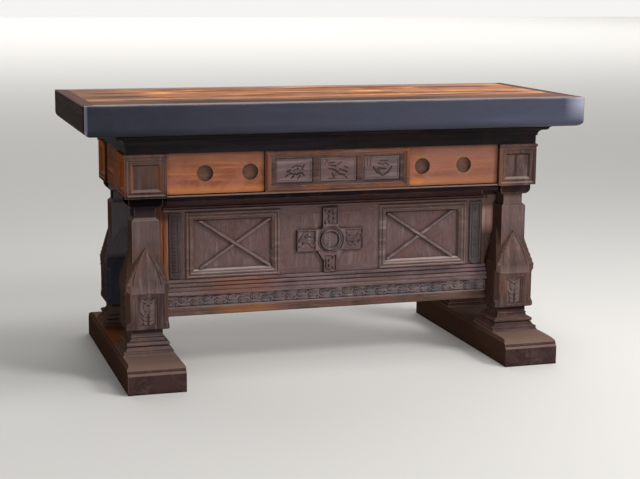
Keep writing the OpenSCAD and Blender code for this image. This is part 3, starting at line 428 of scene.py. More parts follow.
# What all carved woods share
CARVED = dict(contrast=0.15, wear_width=1.6, dirt_and_shade=1.0, bump=0.1)
WOODS = {
    # Fumed and waxed oak: grey-brown, rubbed pale on its arrises, black with grime and
    # painted shade in corners, paler on the fronts of the left plinths, with a painted
    # shadow, near black, under the lower blocks, and painted shade behind the right
    # post
    "carved_oak": dict(
        tones=OAK,
        parts=(
            ((Y, 0), {X: LEFT, Z: (80, 170)}, 6, "8c7876", 0.35),
            ((Y, 0), {Z: (152, 170)}, 4, "1e1a20", 0.85),
            (ANY, {X: RIGHT, Y: (-60, FAR), Z: (80, 170)}, 30, SHADE_BEHIND_RIGHT_POST, 0.85),
        ),
    ),
    # The posts' oak: orange varnish on the sides of the left corner blocks, painted
    # shade on the sides of the lower blocks and shafts, on the left necks and behind
    # the right post, painted shadow, black, under the corner blocks, painted light on
    # the upward faces of the shoulders and corner blocks and painted shade on the
    # downward faces of the corner blocks, paler round the middle of the shafts, darker
    # on the fronts of the left corner blocks, and blue-black painted shade on the front
    # of the back left post, paler grey higher up
    "post_oak": dict(
        tones=OAK,
        parts=(
            ((X, 0), {Z: (572, 711), X: LEFT}, 6, "a4582c", 1.0),
            ((X, 0), {Z: (80, 564)}, 6, "4c372e", 0.85),
            ((Y, 0), {Z: (450, 500)}, 90, "826e6c", 0.4),
            (ANY, {X: LEFT, Z: (536, 568)}, 36, "0e0a0a", 1.25),
            (ANY, {X: LEFT, Z: (511, 545)}, 6, "33282a", 0.85),
            (ANY, {X: RIGHT, Z: (552, 568)}, 8, "0c0808", 0.9),
            ((Z, 1), {X: LEFT, Z: (492, 513)}, 3, "8a7876", 0.7),
            (ANY, {X: RIGHT, Y: (-60, FAR), Z: (80, 300)}, 30, SHADE_BEHIND_RIGHT_POST, 0.85),
            ((Z, 1), {Z: (576, 650)}, 3, "b8a29c", 0.75),
            ((Z, -1), {Z: (640, 708)}, 3, "1c1412", 0.8),
            ((Y, 0), {X: LEFT, Z: (600, 690)}, 12, "453838", 0.35),
            ((Y, -1), {X: LEFT, Y: (100, FAR), Z: (86, 320)}, 40, BACK_POST_SHADE, 0.9),
            ((Y, -1), {X: LEFT, Y: (100, FAR), Z: (340, 560)}, 20, BACK_POST_GREY, 1.0),
        ),
        seed=0.9,
    ),
    # The panel's framing: one flat surface of joined pieces, with a painted shadow,
    # dark, under the frieze
    "panel_oak": dict(
        tones=("655350", "745f5e", "826f6c", "6c5350"),
        parts=((ANY, {Z: (526, 600)}, 6, "321b1a", 0.85),),
        pore=3, stretch=6, patch=110, wear=0.35, least_wear=0, contrast=0.22,
        recess_depth=16, seed=1.1,
    ),
    # Carving in that oak: high parts rubbed pale, ground black with old wax and painted
    # shade, and painted shadow, near black, on the faces that look sideways or down
    "carving_oak": dict(
        tones=("5e4c4b", "766465", "8c7a7a", "755c5a"), edge="bba9a6", recess="120806",
        parts=(((X, 0), {}, 0, "1c100e", 0.7), ((Z, -1), {}, 0, "1c100e", 0.7)),
        wear=0.9, recess_depth=6, seed=0.7, **CARVED,
    ),
    # Carving of the posts: browner, with painted shade on their sides as on the posts,
    # paler on the fronts of the lower panels, and blue-black painted shade on the back
    # left post, paler grey higher up
    "post_carving_oak": dict(
        tones=("4c3d3a", "6e5c59", "877571", "6a524b"), edge="ac9a93", recess="0c0605",
        parts=(
            ((X, 0), {}, 0, "4c372e", 0.8),
            ((Y, 0), {Z: (160, 270)}, 40, "8e7b78", 0.4),
            ((Y, -1), {X: LEFT, Y: (100, FAR)}, 20, BACK_POST_SHADE, 0.9),
            ((Y, -1), {X: LEFT, Y: (100, FAR), Z: (310, 560)}, 10, BACK_POST_GREY, 1.0),
        ),
        wear=0.8, recess_depth=9, seed=0.8, **CARVED,
    ),
    # The vine's oak: the same carving with blue-black stain left in places
    "vine_oak": dict(
        tones=("66555a", "8f7d79", "ae9c96", "686268"), edge="ccbcb6", recess="0c0808",
        patch=70, wear=0.9, recess_depth=8, seed=0.5, **CARVED,
    ),
    # End strips: dull oak under a dark wash, and greyer on the right
    "end_strip_oak": dict(
        tones=("3c3031", "574949", "6c5c5a", "484048"), edge="7c6c64", recess="0a0605",
        parts=((ANY, {X: RIGHT}, 20, "605958", 0.6),),
        recess_depth=6, seed=2.3,
    ),
    # Mitred mouldings of the fields: brown, with painted light on the upward faces of
    # the lower ones and painted shade, black, on the downward faces of the top ones,
    # and a darker upright at the left
    "moulding_oak": dict(
        tones=("5c4a46", "7b6763", "94807c", "765a54"), edge="bca8a0",
        parts=(
            (ANY, {X: (-470, -432)}, 4, "563a30", 0.5),
            ((Z, 1), {Z: (280, 360)}, 6, "ccb8b4", 0.8),
            ((Z, -1), {Z: (440, 540)}, 6, "3c201c", 0.8),
        ),
        patch=120, dirt_and_shade=0.7, recess_depth=9, seed=1.9,
    ),
    # Straps: hand-worn pale on their arrises, with painted shade, black, on their
    # downward faces along their lower edges
    "strap_oak": dict(
        tones=("68565a", "836f6c", "9b8885", "7c635e"), edge="bcaaa6", recess="120a08",
        parts=(((Z, -1), {}, 0, "160c0a", 0.8),),
        dirt_and_shade=0.6, recess_depth=6, seed=2.6,
    ),
    # Ledge: rubbed grey along its arrises, with orange varnish left in patches and
    # painted shade on its downward faces
    "ledge_oak": dict(
        tones=("57464a", "77645f", "937f7b", "7a6467"), edge="bca8a0",
        parts=(
            (ANY, {X: (-340, -260)}, 120, "905a42", 0.55),
            ((Z, -1), {}, 0, "2c1814", 0.7),
        ),
        patch=150, dirt_and_shade=0.7, recess_depth=8, seed=1.7,
    ),
    # Base moulding: brown, olive and purple patches where cloths have rubbed it
    "base_oak": dict(
        tones=("4a3a32", "745e50", "96806e", "6a4a48"), edge="bca088",
        parts=((ANY, {X: (-330, -230)}, 90, "a06a44", 0.6),),
        patch=110, seed=2.1,
    ),
    # The same oak where old varnish has kept a red-brown tone
    "warm_oak": dict(
        tones=("553a32", "7a5a4e", "93776b", "7c4c38"), edge="c4a494", patch=90,
        seed=1.7,
    ),
    # Drawer fronts: the table's brightest oak, waxed to a satin. It is darker near its
    # top with a painted shadow of the top, browner on the right, and brightest along
    # its foot
    "drawer_oak": dict(
        tones=("warm_dark", "warm", "warm_light", "9c5c48"),
        edge="d8a478", recess="2a120a",
        parts=(
            ((Y, 0), {Z: (688, 720)}, 30, "74493a", 0.7),
            ((Y, 0), {Z: (560, 596)}, 20, "cc8048", 0.6),
            ((Y, 0), {X: RIGHT}, 20, "8a6052", 0.5),
        ),
        figure=34, patch=70, contrast=0.2, wear=0.5, shine=0.2, seed=2.9,
    ),
    # Scribed strips: orange varnish on the left, pale on the right but black with
    # painted shade at their foot there, and painted shadow, dark, under the frieze
    "strip_oak": dict(
        tones=("6c4230", "986046", "b27a58", "865a4c"), edge="c89070", recess="1c0e0a",
        parts=(
            (ANY, {X: (300, 600)}, 20, "c09c92", 0.88),
            (ANY, {X: (300, 600), Z: (80, 400)}, 40, "261a14", 0.9),
            ((Y, 0), {Z: (500, 564)}, 20, "3a2820", 0.8),
            ((Y, 0), {Z: (535, 564)}, 6, "1c1212", 0.9),
        ),
        seed=3.3,
    ),
    # Ebonised edging: blue-black under wax, brown on top where the stain has rubbed
    # through, with a painted highlight, grey, at its left corner, painted light that
    # makes it paler towards the right, and a painted highlight at its top right corner
    "ebonised_wood": dict(
        tones=("22242e", "ebony", "ebony_light", "2c2c38"), edge="c0b4b8",
        recess="08070a",
        parts=(
            (ANY, {X: (800, FAR)}, 1600, "5e6276", 0.45),
            ((Z, 1), {Z: (860, FAR)}, 2, "5c3e36", 0.95),
            (ANY, {X: (-FAR, -810)}, 8, "8c92a4", 0.9),
            ((Y, 0), {X: (800, FAR), Z: (846, FAR)}, 60, "b8b8cc", 0.7),
        ),
        figure=60, contrast=0.08, wear=0.85, least_wear=0, wear_width=3, patch=120,
        gloss=(0.42, 0.52), shine=0.12, bump=0.06, seed=4.1,
    ),
    # The edging's ends: the stain is thin on their end grain
    "ebonised_end": dict(
        tones=("241512", "38221c", "442c22", "301c16"), edge="6a5850", recess="08070a",
        parts=(((Z, 1), {Z: (860, FAR)}, 2, "5e3c34", 0.95),),
        figure=16, contrast=0.3, gloss=(0.7, 0.8), shine=0.05, seed=4.6,
    ),
    # Fascia and cornice: the same black without wax, made darker still as painted shade
    # under the top
    "black_wood": dict(
        tones=("14110f", "211d21", "2d272e", "281c1c"), edge="4a4048", recess="050406",
        figure=40, contrast=0.15, wear=0.35, gloss=(0.6, 0.7), shine=0.06, bump=0.1,
        seed=4.9,
    ),
    # Rail under the drawers: ebonised black below, darkened as painted shade under the
    # drawers, with its bead tan
    "rail_wood": dict(
        tones=("141117", "1f1b22", "2c2329", "261919"), edge="7a5c50", recess="050406",
        parts=(((Y, 0), {Z: (577, 600)}, 1, "9a7868", 0.85),),
        gloss=(0.6, 0.7), patch=60, seed=5.1,
    ),
    # Carcase wood: plain and dull, never polished
    "carcase_wood": dict(
        tones=("3a271c", "5a3e2c", "6d4d38", "4c3426"), edge="8a6a50",
        gloss=(0.65, 0.8), seed=5.3,
    ),
    # Drawer sides and bottoms: pale wood that has only darkened with age
    "drawer_box_wood": dict(
        tones=("7a5b3e", "a07c56", "b8946a", "8a6a4c"), edge="c8a880", recess="3a2818",
        gloss=(0.65, 0.8), seed=6.1,
    ),
    # Feet: fumed oak that is paler and browner on its upward faces as painted light,
    # most of all in orange between the posts at the left, browner on its sides, with
    # painted shade behind the right post, and cold grey-brown at the ends
    "foot_oak": dict(
        tones=("3a2a28", "4d3d3c", "5c4b49", "4a3634"), edge="94827a", recess="0e0705",
        parts=(
            ((Z, 1), {Z: (58, 120)}, 4, "7b6459", 0.85),
            (ANY, {X: RIGHT, Y: (-130, FAR), Z: (58, 120)}, 30, SHADE_BEHIND_RIGHT_POST, 0.8),
            ((Z, 1), {X: LEFT, Y: (-100, 160), Z: (58, 120)}, 20, "7a4318", 0.9),
            ((X, 0), {Z: (-FAR, 100)}, 4, "4c362a", 0.9),
        ),
        patch=70, seed=7.7,
    ),
    # Turned cups: dark, with the grain nearly lost under wax
    "cup_wood": dict(
        tones=("57413a", "77594a", "8e6e5c", "6a4a3c"), edge="a07a64", recess="120805",
        contrast=0.2, seed=8.2,
    ),
}
# Boards of the top: oiled, orange with dark mineral streaks and pale flakes, and dull
# brown along the front where hands rest
TOP_BOARD = dict(
    tones=("board_dark", "board", "board_light", "9c6848"), edge="e8b890",
    recess="2a1610",
    parts=(
        (ANY, {Y: (-FAR, -215)}, 90, "38261f", 1.2),
        (ANY, {X: (-FAR, -640)}, 160, "70503f", 0.6),
        (ANY, {X: (480, FAR)}, 200, "d89c80", 0.15),
        *(
            (ANY, {X: (x - long, x + long), Y: (y - 5, y + 5)}, 34, dark, 1.0)
            for x, y, long, dark in STREAKS
        ),
    ),
    pore=5, figure=62, patch=240, stretch=9, softness=0.09, contrast=0.4, wear=0.4,
    gloss=(0.6, 0.75), shine=0.03, bump=0.15, drift=(380, 150, 0),
)


def make_materials():
    """Makes every wood of the table, for each way that its grain runs."""
    for kind, values in WOODS.items():
        for along in "xyz":
            name = f"{kind.replace('_', ' ').capitalize()}, grain along {along}"
            MATERIALS[kind, along] = wood(name, along, **values)
    for i, place in enumerate(("front", "middle", "back")):
        board = wood(f"Oiled board {i + 1}", "x", seed=10.0 + 3.1 * i, **TOP_BOARD)
        MATERIALS["top_boards", f"top_board_{place}"] = board


SOLIDS = (
    # Names of solids, their wood, if it isn't that of their material slot, and the way
    # of its grain. The first row that fits counts, and all others go along x
    ("drawer_*_front", "drawer_oak", "x"),
    ("panel_*_rail", "panel_oak", "x"),
    ("panel_field_mouldings", "moulding_oak", "x"),
    ("panel_base_moulding", "base_oak", "x"),
    ("saltire_*", "strap_oak", "x"),
    ("ledge_moulding", "ledge_oak", "x"),
    ("vine_strip", "vine_oak", "x"),
    ("fascia_[fb]*", "black_wood", "x"),
    ("cornice", "black_wood", "x"),
    ("drawer_rail", "rail_wood", "x"),
    ("fascia_*", "black_wood", "y"),
    ("top_edge_[lr]*", "ebonised_end", "y"),
    ("frieze_end_*", "strip_oak", "y"),
    ("bearer_*", None, "y"),
    ("foot_*", None, "y"),
    ("drawer_kickers", None, "y"),
    ("drawer_*_sides", None, "y"),
    ("drawer_*_runners", None, "y"),
    ("post_*", "post_oak", "z"),
    ("panel_stile_*", "panel_oak", "z"),
    ("panel_muntins", "panel_oak", "z"),
    ("panel_field_*", "panel_oak", "z"),
    ("carved_strips", "end_strip_oak", "z"),
    ("scribe_strips", "strip_oak", "z"),
)


class TABLE_OT_finish_solids(bpy.types.Operator):
    """Gives every solid of the table its wood, with the grain along its length"""

    bl_idname = "table.finish_solids"
    bl_label = "Finish the solids"

    def execute(self, context):
        make_materials()
        slots = {s["node"]: s["material_slot"] for s in frame["record"]["subparts"]}
        for name, solid in frame["nodes"].items():
            slot = slots[name]
            fits = (row[1:] for row in SOLIDS if fnmatch(name, row[0]))
            kind, along = next(fits, (None, "x"))
            key = (slot, name) if slot == "top_boards" else (kind or slot, along)
            solid.data.materials.clear()
            solid.data.materials.append(MATERIALS[key])
        return {"FINISHED"}


# ---- The centre cross ----


CROSS_HALF = {0: 35.0, 90: 27.0, 180: 35.0, 270: 23.0}  # half widths of the arms, mm
CROSS_THICK = 11  # how far it stands out, mm
CROSS_RIM = 4.0  # bare rim round its sunk fields, mm
HUB = 48  # radius of its hub, mm
LINE_AT, RING_AT, BOSS = 40, 31, 25  # radii of its fine line, ring and boss, mm
# Shoulders: way that their slope faces, how far out it lies and its ends below the hub
SHOULDER = {"across": 0.85, "down": 0.53, "at": 57, "top": 35, "foot": HUB + 18}
BURIED = 2  # how far the ground round it lies behind the panel's face, mm


def leaf_at(angle, distance):
    """Start and direction of a leaf that lies along an arm."""
    a = math.radians(angle)
    return (distance * math.cos(a), distance * math.sin(a)), angle


def cross_form(reach, rise_to):
    """Rise of the centre cross: four straight arms on a round hub, with sloping
    shoulders over the lower arm. On the arms lie sunk fields with two strands that
    cross over each other and a leaf, and on the hub two rings round a domed boss."""

    def form(u, v):
        r = np.hypot(u, v)
        outline = r - HUB
        knots = np.zeros(u.shape)
        sunk_all = np.zeros(u.shape)
        for angle, half in CROSS_HALF.items():
            tip = reach if angle % 180 == 0 else rise_to
            p, q = turned(u, v, (0, 0), angle)
            arm = np.maximum(np.maximum(np.abs(q) - half, p - tip), -p)
            outline = np.minimum(outline, arm)
            length = tip - HUB - 2 * CROSS_RIM
            start = tip - CROSS_RIM - length
            along = np.abs(p - start - length / 2) - length / 2
            sunk = step_up(np.maximum(np.abs(q) - half + CROSS_RIM, along), 1.6)
            sunk_all = np.maximum(sunk_all, sunk)
            for side in (-1, 1):
                turn = (p - start) / length * 2 * np.pi + 0.6 * side
                thread = round_top(q - side * 0.55 * half * np.sin(turn), 4.2)
                weave = 4.4 + 1.0 * np.cos(turn) * side
                knots = np.maximum(knots, sunk * thread * weave)
            blade = leaf(u, v, *leaf_at(angle, start + 1), length, half * 0.55, 5.5, 5)
            knots = np.maximum(knots, sunk * blade)
        slope = np.abs(u) * SHOULDER["across"] - v * SHOULDER["down"] - SHOULDER["at"]
        ends = np.maximum(v + SHOULDER["top"], -v - SHOULDER["foot"])
        slope = np.maximum(np.maximum(slope, ends), np.abs(u) - HUB)
        total = (CROSS_THICK + BURIED) * step_up(np.minimum(outline, slope), 2.2)
        total = total - BURIED - 5.5 * sunk_all + knots
        total = total - 4.5 * step_up(r - HUB + CROSS_RIM, 2.0)
        total = total + 2.0 * step_up(np.abs(r - LINE_AT) - 1.5, 1.5)
        petals = 0.82 + 0.18 * np.cos(6 * np.arctan2(v, u))
        dome = 5 * np.clip(1 - (r / BOSS) ** 2, 0, 1) * petals
        return total + 8 * round_top(r - RING_AT, 4.5) + dome

    return form


class TABLE_OT_carve_cross(bpy.types.Operator):
    """Carves the cross in the middle of the panel: knotted arms and a ringed hub"""

    bl_idname = "table.carve_cross"
    bl_label = "Carve the centre cross"

    def execute(self, context):
        lo, hi = frame_box("centre_cross")
        wide, _, high = hi - lo
        x, _, z = (lo + hi) / 2
        face_y = frame_box("panel_stile_left")[0][1]
        piece = carve(
            "centre_cross_carving",
            Ground((x, face_y, z), FRONT),
            (wide + BURIED * 2, high + BURIED * 2),
            cross_form(wide / 2, high / 2),
            ("carving_oak", "z"),
            drop=0.1 - BURIED,
        )
        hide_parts("centre_cross")
        return {"FINISHED"}


# ---- The running vine ----


VINE_DEEP = 4  # how far its ground lies behind the strip's edges, mm
VINE_FOOT, VINE_HEAD = 4, 3  # heights of the edges under and over it, mm
VINE_ENDS = 9  # bare wood at both of its ends together, mm
VINE_START = 7  # where in its wave it stands at the middle, mm
VINE_LEAVES = (
    # Start from the middle of a bend, direction in degrees, length and width, mm
    ((-8, 4), 208, 20, 12),
    ((9, 3), -38, 19, 12),
    ((3, -8), -80, 9, 8),
    ((-16, 7), 65, 11, 9),
)


def vine_form(wave, half):
    """Rise of the running vine: a stem that swings as a sine, and in each bend a
    scroll and four leaves. Every second bend is the mirror image of the first."""

    def form(u, v):
        u = u + VINE_START
        bend = np.floor(u / (wave / 2))
        side = np.where(bend % 2 == 0, 1.0, -1.0)
        x = u - (bend + 0.5) * wave / 2
        y = v * side
        swing = 0.6 * half * np.cos(np.pi * x / (wave / 2))
        slope = np.hypot(1, 0.6 * half * np.pi / (wave / 2))
        rise = 4.4 * round_top(y - swing, 2.4 * slope)
        rise = np.maximum(rise, scroll(x, y, (0, -4), 9.5, 80, -1, 4.4, 1.5, 2.3))
        for at, angle, length, width in VINE_LEAVES:
            rise = np.maximum(rise, leaf(x, y, at, angle, length, width, 4.4, 5.0))
        return rise + 0.05

    return form


class TABLE_OT_carve_vine(bpy.types.Operator):
    """Carves the running vine along the strip under the ledge"""

    bl_idname = "table.carve_vine"
    bl_label = "Carve the vine"

    def execute(self, context):
        lo, hi = frame_box("vine_strip")
        z0, z1 = lo[2] + VINE_FOOT, hi[2] - VINE_HEAD
        wave = context.scene.table_carving.vine_wave / MM
        ground = Ground((0, lo[1] + VINE_DEEP, (z0 + z1) / 2), FRONT)
        size = (hi[0] - lo[0] - VINE_ENDS, z1 - z0 - 0.4)
        form = vine_form(wave, (z1 - z0) / 2)
        carve("vine_carving", ground, size, form, ("vine_oak", "x"))
        return {"FINISHED"}


# ---- The squares of the frieze ----


STROKES = (
    # Strokes cut into each square: start and end from its middle, half width, all mm
    (
        ((-21, -3), (-13, 1), 3.4), ((-27, -18), (-12, -10), 1.8),
        ((-12, -10), (6, -13), 2.0), ((6, -13), (26, -9), 2.2),
        ((26, -9), (34, -18), 1.8), ((-6, 9), (8, 15), 1.7), ((8, 15), (25, 11), 1.7),
        ((-2, -1), (12, 4), 1.8), ((12, 4), (30, 1), 1.8), ((-10, -26), (-2, -17), 1.6),
        ((12, -27), (20, -17), 1.8), ((27, 3), (33, 17), 1.6),
    ),
    (
        ((-32, 20), (-12, 22), 1.8), ((-26, 12), (-8, 10), 2.2),
        ((-32, 2), (-16, -2), 1.8), ((-16, -2), (-2, -9), 2.4),
        ((-20, -12), (-14, -26), 2.0), ((-30, -30), (-10, -29), 1.8),
        ((2, -15), (20, -20), 2.0), ((6, 0), (30, -10), 2.0), ((-2, 14), (10, 22), 1.6),
        ((20, 8), (32, 2), 1.6), ((22, -24), (30, -30), 1.6),
    ),
    (
        ((-28, 2), (-16, -14), 2.2), ((-16, -14), (4, -25), 3.0),
        ((4, -25), (22, -15), 3.0), ((22, -15), (34, 2), 2.2),
        ((-12, 14), (6, 10), 1.8), ((-4, 22), (18, 22), 1.8), ((-8, -2), (14, -4), 2.0),
        ((10, 14), (24, 8), 1.8), ((-14, -4), (-6, -12), 1.8),
    ),
)
RIDGES = (
    # Ridges that stand between the strokes of each square, in the same terms
    (((-20, 6), (-8, -6), 2.4), ((0, -22), (10, -6), 2.4), ((14, 9), (24, -3), 2.2)),
    (
        ((-44, 12), (-36, 30), 1.8), ((-36, 30), (-28, 12), 1.8),
        ((-20, 5), (-6, 2), 2.4), ((-8, -18), (6, -8), 2.4), ((12, -4), (26, 2), 2.2),
    ),
    (
        ((-46, 8), (-46, 32), 1.6), ((-38, 6), (-34, 32), 1.6),
        ((-10, 4), (16, 6), 2.4), ((-6, -14), (14, -14), 2.6),
    ),
)
SQUARES = {"pitch": 146, "wide": 119, "high": 75, "deep": 4}  # their sinkings, mm
SQUARE_RISE = 3.2  # height of a square's ground over that of its cuts, mm


def square_form(strokes, ridges):
    """Rise of a carved square: a level ground with round cuts and ridges, punched with
    fine pits, inside a bead along its four sides."""

    def form(u, v):
        grain = 0.25 * np.sin(u * 1.9) * np.sin(v * 2.3 + 0.6 * np.sin(u * 0.7))
        rise = SQUARE_RISE + grain
        for start, end, half in ridges:
            rise = rise + strand(u, v, start, end, half * 1.3, 2.2)
        for start, end, half in strokes:
            rise = rise - strand(u, v, start, end, half * 1.2, 1.5 * half)
        inset = SQUARES["wide"] / 2 - np.abs(u)
        inset = np.minimum(inset, SQUARES["high"] / 2 - np.abs(v))
        bead = (SQUARE_RISE + 1.6) * round_top(inset - 3, 2.2)
        return np.maximum(np.maximum(rise, 0.1), bead) - SQUARE_RISE

    return form


class TABLE_OT_carve_squares(bpy.types.Operator):
    """Carves the three squares of the panel between the drawers"""

    bl_idname = "table.carve_squares"
    bl_label = "Carve the frieze squares"

    def execute(self, context):
        lo, hi = frame_box("frieze_centre_panel")
        middle = (lo + hi) / 2
        size = (SQUARES["wide"], SQUARES["high"])
        step = 0.75 * context.scene.table_carving.fineness / MM
        for i, cuts in enumerate(zip(STROKES, RIDGES)):
            x = middle[0] + (i - 1) * SQUARES["pitch"]
            ground = Ground((x, lo[1] + SQUARES["deep"], middle[2]), FRONT)
            name, form = f"square_carving_{i + 1}", square_form(*cuts)
            carve(name, ground, size, form, ("carving_oak", "x"), step=step)
        return {"FINISHED"}


# ---- The posts ----


POST_AT = (618.0, 195.5)  # middle of a post, mm
BLOCK = {"wide": 134, "top": 308}  # width of a lower block and height of its top, mm
LEAVES = {"wide": 49, "high": 81, "deep": 6, "at": 220}  # carving in its panel, mm
APRON = {"wide": 104, "high": 32, "lap": 1.5}  # band over that panel, mm
SHAFT = 84  # width of a shaft, mm
BROACH = 117  # height of a gable, mm
GABLE_EDGE = 1.5  # bare edge beside the carving of a gable, mm
FACET_RISE, FACET_HALF = 4.2, 24.0  # rise and half width of a pair of facets, mm


def palmette_form(u, v):
    """Rise of the carving in a post's lower panel: a bud of two leaves under crossed
    ribbons, and three pairs of broad leaves that slope down from the middle."""
    rise = np.full(u.shape, 0.1)
    for side in (-1, 1):
        ribbon = strand(u, v, (side * 23, 41), (-side * 8, 24), 2.6, 4.5)
        rise = np.maximum(rise, ribbon)
        bud = leaf(u, v, (side * 1, 0), 90 - side * 24, 32, 15, 5.5, 9.0)
        rise = np.maximum(rise, bud)
        for low in (0, -13, -26):
            start = (side * 1.5, low - 14)
            broad = (90 - side * 52, 26 + low / 5, 12.5, 6, 40.0)
            rise = np.maximum(rise, leaf(u, v, start, *broad))
    cutting = strand(u, v, (-10, -2), (9, 6), 2.4, 5.0)
    return np.maximum(rise - cutting, 0.1)


def facets(u, half):
    """Rise of two facets that meet in an upright ridge."""
    return FACET_RISE * np.clip(1 - np.abs(u) / half, 0, 1)


def gable_form(wide, tall):
    """Rise of the carving in a gable: a leafy rib along each sloping side, a curved rib
    inside it, and between them two facets."""

    def form(u, v):
        y = v + tall / 2
        t = np.clip(y / tall, 0, 1)
        room = wide / 2 * (1 - t) - np.abs(u)
        leafy = 2.0 + 1.0 * np.cos(2 * np.pi * y / 15)
        outer = leafy * round_top(room - 3, 3.0)
        inner = 3.2 * round_top(np.abs(u) - 0.66 * (wide / 2) * (1 - t**1.5), 2.6)
        middle = facets(u, FACET_HALF * np.clip(1 - t**1.8, 0.01, 1))
        rise = np.maximum(np.maximum(outer, inner), middle)
        return np.where(room > 0, np.maximum(rise, 0.3), -1.0)

    return form


def apron_form(u, v):
    """Rise of the band between a gable and the panel below it: the foot of the two
    facets over a bead."""
    from_foot = v + APRON["high"] / 2
    bead = 3.0 * round_top(from_foot - 4, 2.6)
    return np.maximum(np.where(from_foot > 4, facets(u, FACET_HALF), 0), bead) + 0.1


class TABLE_OT_carve_posts(bpy.types.Operator):
    """Carves the leaf panels and gables of the four posts"""

    bl_idname = "table.carve_posts"
    bl_label = "Carve the posts"

    def execute(self, context):
        back = (BLOCK["wide"] - SHAFT) / 2
        slope = math.hypot(BROACH, back)
        half = BLOCK["wide"] / 2 - GABLE_EDGE
        tall = slope * half / (BLOCK["wide"] / 2)
        leafy, plain = ((form["wide"], form["high"]) for form in (LEAVES, APRON))
        steep = (2 * half, tall)
        for (end, sx), (depth, sy), face in itertools.product(
            (("left", -1), ("right", 1)), (("front", -1), ("back", 1)), ("face", "end")
        ):
            out = np.array((0, sy, 0) if face == "face" else (sx, 0, 0), float)
            centre = np.array([sx * POST_AT[0], sy * POST_AT[1], 0.0])
            skin = centre + out * BLOCK["wide"] / 2
            rising = (UP * BROACH - out * back) / slope
            normal = (out * BROACH + UP * back) / slope
            gable = skin + UP * BLOCK["top"] + rising * tall / 2
            leaves = skin - out * LEAVES["deep"] + UP * LEAVES["at"]
            apron = skin + UP * (BLOCK["top"] + APRON["lap"] - APRON["high"] / 2)
            for kind, ground, size, form in (
                ("leaf", Ground(leaves, out), leafy, palmette_form),
                ("apron", Ground(apron, out), plain, apron_form),
                ("gable", Ground(gable, normal, rising), steep, gable_form(*steep)),
            ):
                name = f"{kind}_{depth}_{end}_{face}"
                carve(name, ground, size, form, ("post_carving_oak", "z"), drop=-0.9)
        return {"FINISHED"}


# ---- The end strips of the panel and its fields ----


STRIP = {"wide": 40, "bare": 10, "foot": 20, "head": 5, "deep": 3}  # end strips, mm
STILE_BEAD = {"wide": 18, "high": 5.5, "step": 1.5}  # bead and its grid's spacing, mm
FRAME_PITCH = 60  # distance of the frames on the right end strip, mm
MOTIF_WIDE = 44  # square in which a small leaf lies, mm
MOTIF_BURIED = 0.5  # how far its ground lies behind the field, mm


def ribs_form(u, v):
    """Rise of the left end strip: a band of cross ribs beside two upright reeds."""
    ribs = 1.6 + 1.2 * np.cos(2 * np.pi * v / 11)
    rise = ribs * step_up(np.abs(u + 3) - 9, 1.5)
    for at in (9.5, 13):
        rise = np.maximum(rise, 3.2 * round_top(u - at, 1.7))
    return rise


def frames_form(u, v):
    """Rise of the right end strip: upright frames with a curled leaf in each."""
    y = (v + FRAME_PITCH / 2) % FRAME_PITCH - FRAME_PITCH / 2
    rise = 3.2 * round_top(np.maximum(np.abs(u) - 11, np.abs(y) - 27), 1.8)
    rise = np.maximum(rise, leaf(u, y, (-2, -20), 78, 26, 10, 3.4, 4.5))
    return np.maximum(rise, scroll(u, y, (1, 12), 6.5, 60, 1, 3.4, 1.3, 1.8))


def bead_form(u, v):
    """Rise of the bead on a stile's outer edge: a half ellipse."""
    return STILE_BEAD["high"] * round_top(u, STILE_BEAD["wide"] / 2)


def motif_form(blades):
    """Rise of a small leaf of a few blades on the ground of a crossed field."""

    def form(u, v):
        rise = np.full(u.shape, -MOTIF_BURIED)
        for start, angle, length, width in blades:
            blade = leaf(u, v, start, angle, length, width, 1.8, 4.5)
            rise = np.maximum(rise, np.where(blade > 0, blade, -MOTIF_BURIED))
        return rise

    return form


FIELD_MOTIFS = (
    # Height over the crossing of the straps, and the leaf's blades: start, direction
    # in degrees, length and width, all mm
    (-62, (((-2, -12), 100, 20, 7), ((-2, -12), 35, 16, 6))),
    (46, (((0, -10), 90, 18, 4), ((-3, -10), 128, 17, 4), ((3, -10), 52, 17, 4))),
)


class TABLE_OT_carve_panel(bpy.types.Operator):
    """Carves the end strips, edge beads and crossed fields of the panel"""

    bl_idname = "table.carve_panel"
    bl_label = "Carve the panel"

    def execute(self, context):
        lo, hi = frame_box("carved_strips")
        low = frame_box("ledge_moulding")[1][2]
        high = frame_box("panel_top_rail")[1][2]
        z0, z1 = lo[2] + STRIP["foot"], hi[2] - STRIP["head"]
        for name, side, form in (("left", -1, ribs_form), ("right", 1, frames_form)):
            x = side * (hi[0] - STRIP["wide"] / 2)
            ground = Ground((x, lo[1] + STRIP["deep"], (z0 + z1) / 2), FRONT)
            size = (STRIP["wide"] - STRIP["bare"], z1 - z0)
            carve(f"strip_carving_{name}", ground, size, form, ("end_strip_oak", "z"))
            stile = frame_box(f"panel_stile_{name}")
            x = stile[side > 0][0] - side * (STILE_BEAD["wide"] + 1) / 2
            carve(
                f"stile_bead_{name}",
                Ground((x, stile[0][1], (low + high) / 2), FRONT),
                (STILE_BEAD["wide"], high - low),
                bead_form,
                ("strip_oak", "z"),
                step=STILE_BEAD["step"],
            )
            field_y = frame_box(f"panel_field_{name}")[0][1]
            x, _, z = np.add(*frame_box(f"saltire_{name}")) / 2
            for i, (rise, blades) in enumerate(FIELD_MOTIFS):
                carve(
                    f"field_motif_{name}_{i + 1}",
                    Ground((x, field_y, z + rise), FRONT),
                    (MOTIF_WIDE, MOTIF_WIDE),
                    motif_form(blades),
                    ("panel_oak", "z"),
                    back=MOTIF_BURIED,
                    drop=0.05 - MOTIF_BURIED,
                )
        return {"FINISHED"}


# ---- The studio ----


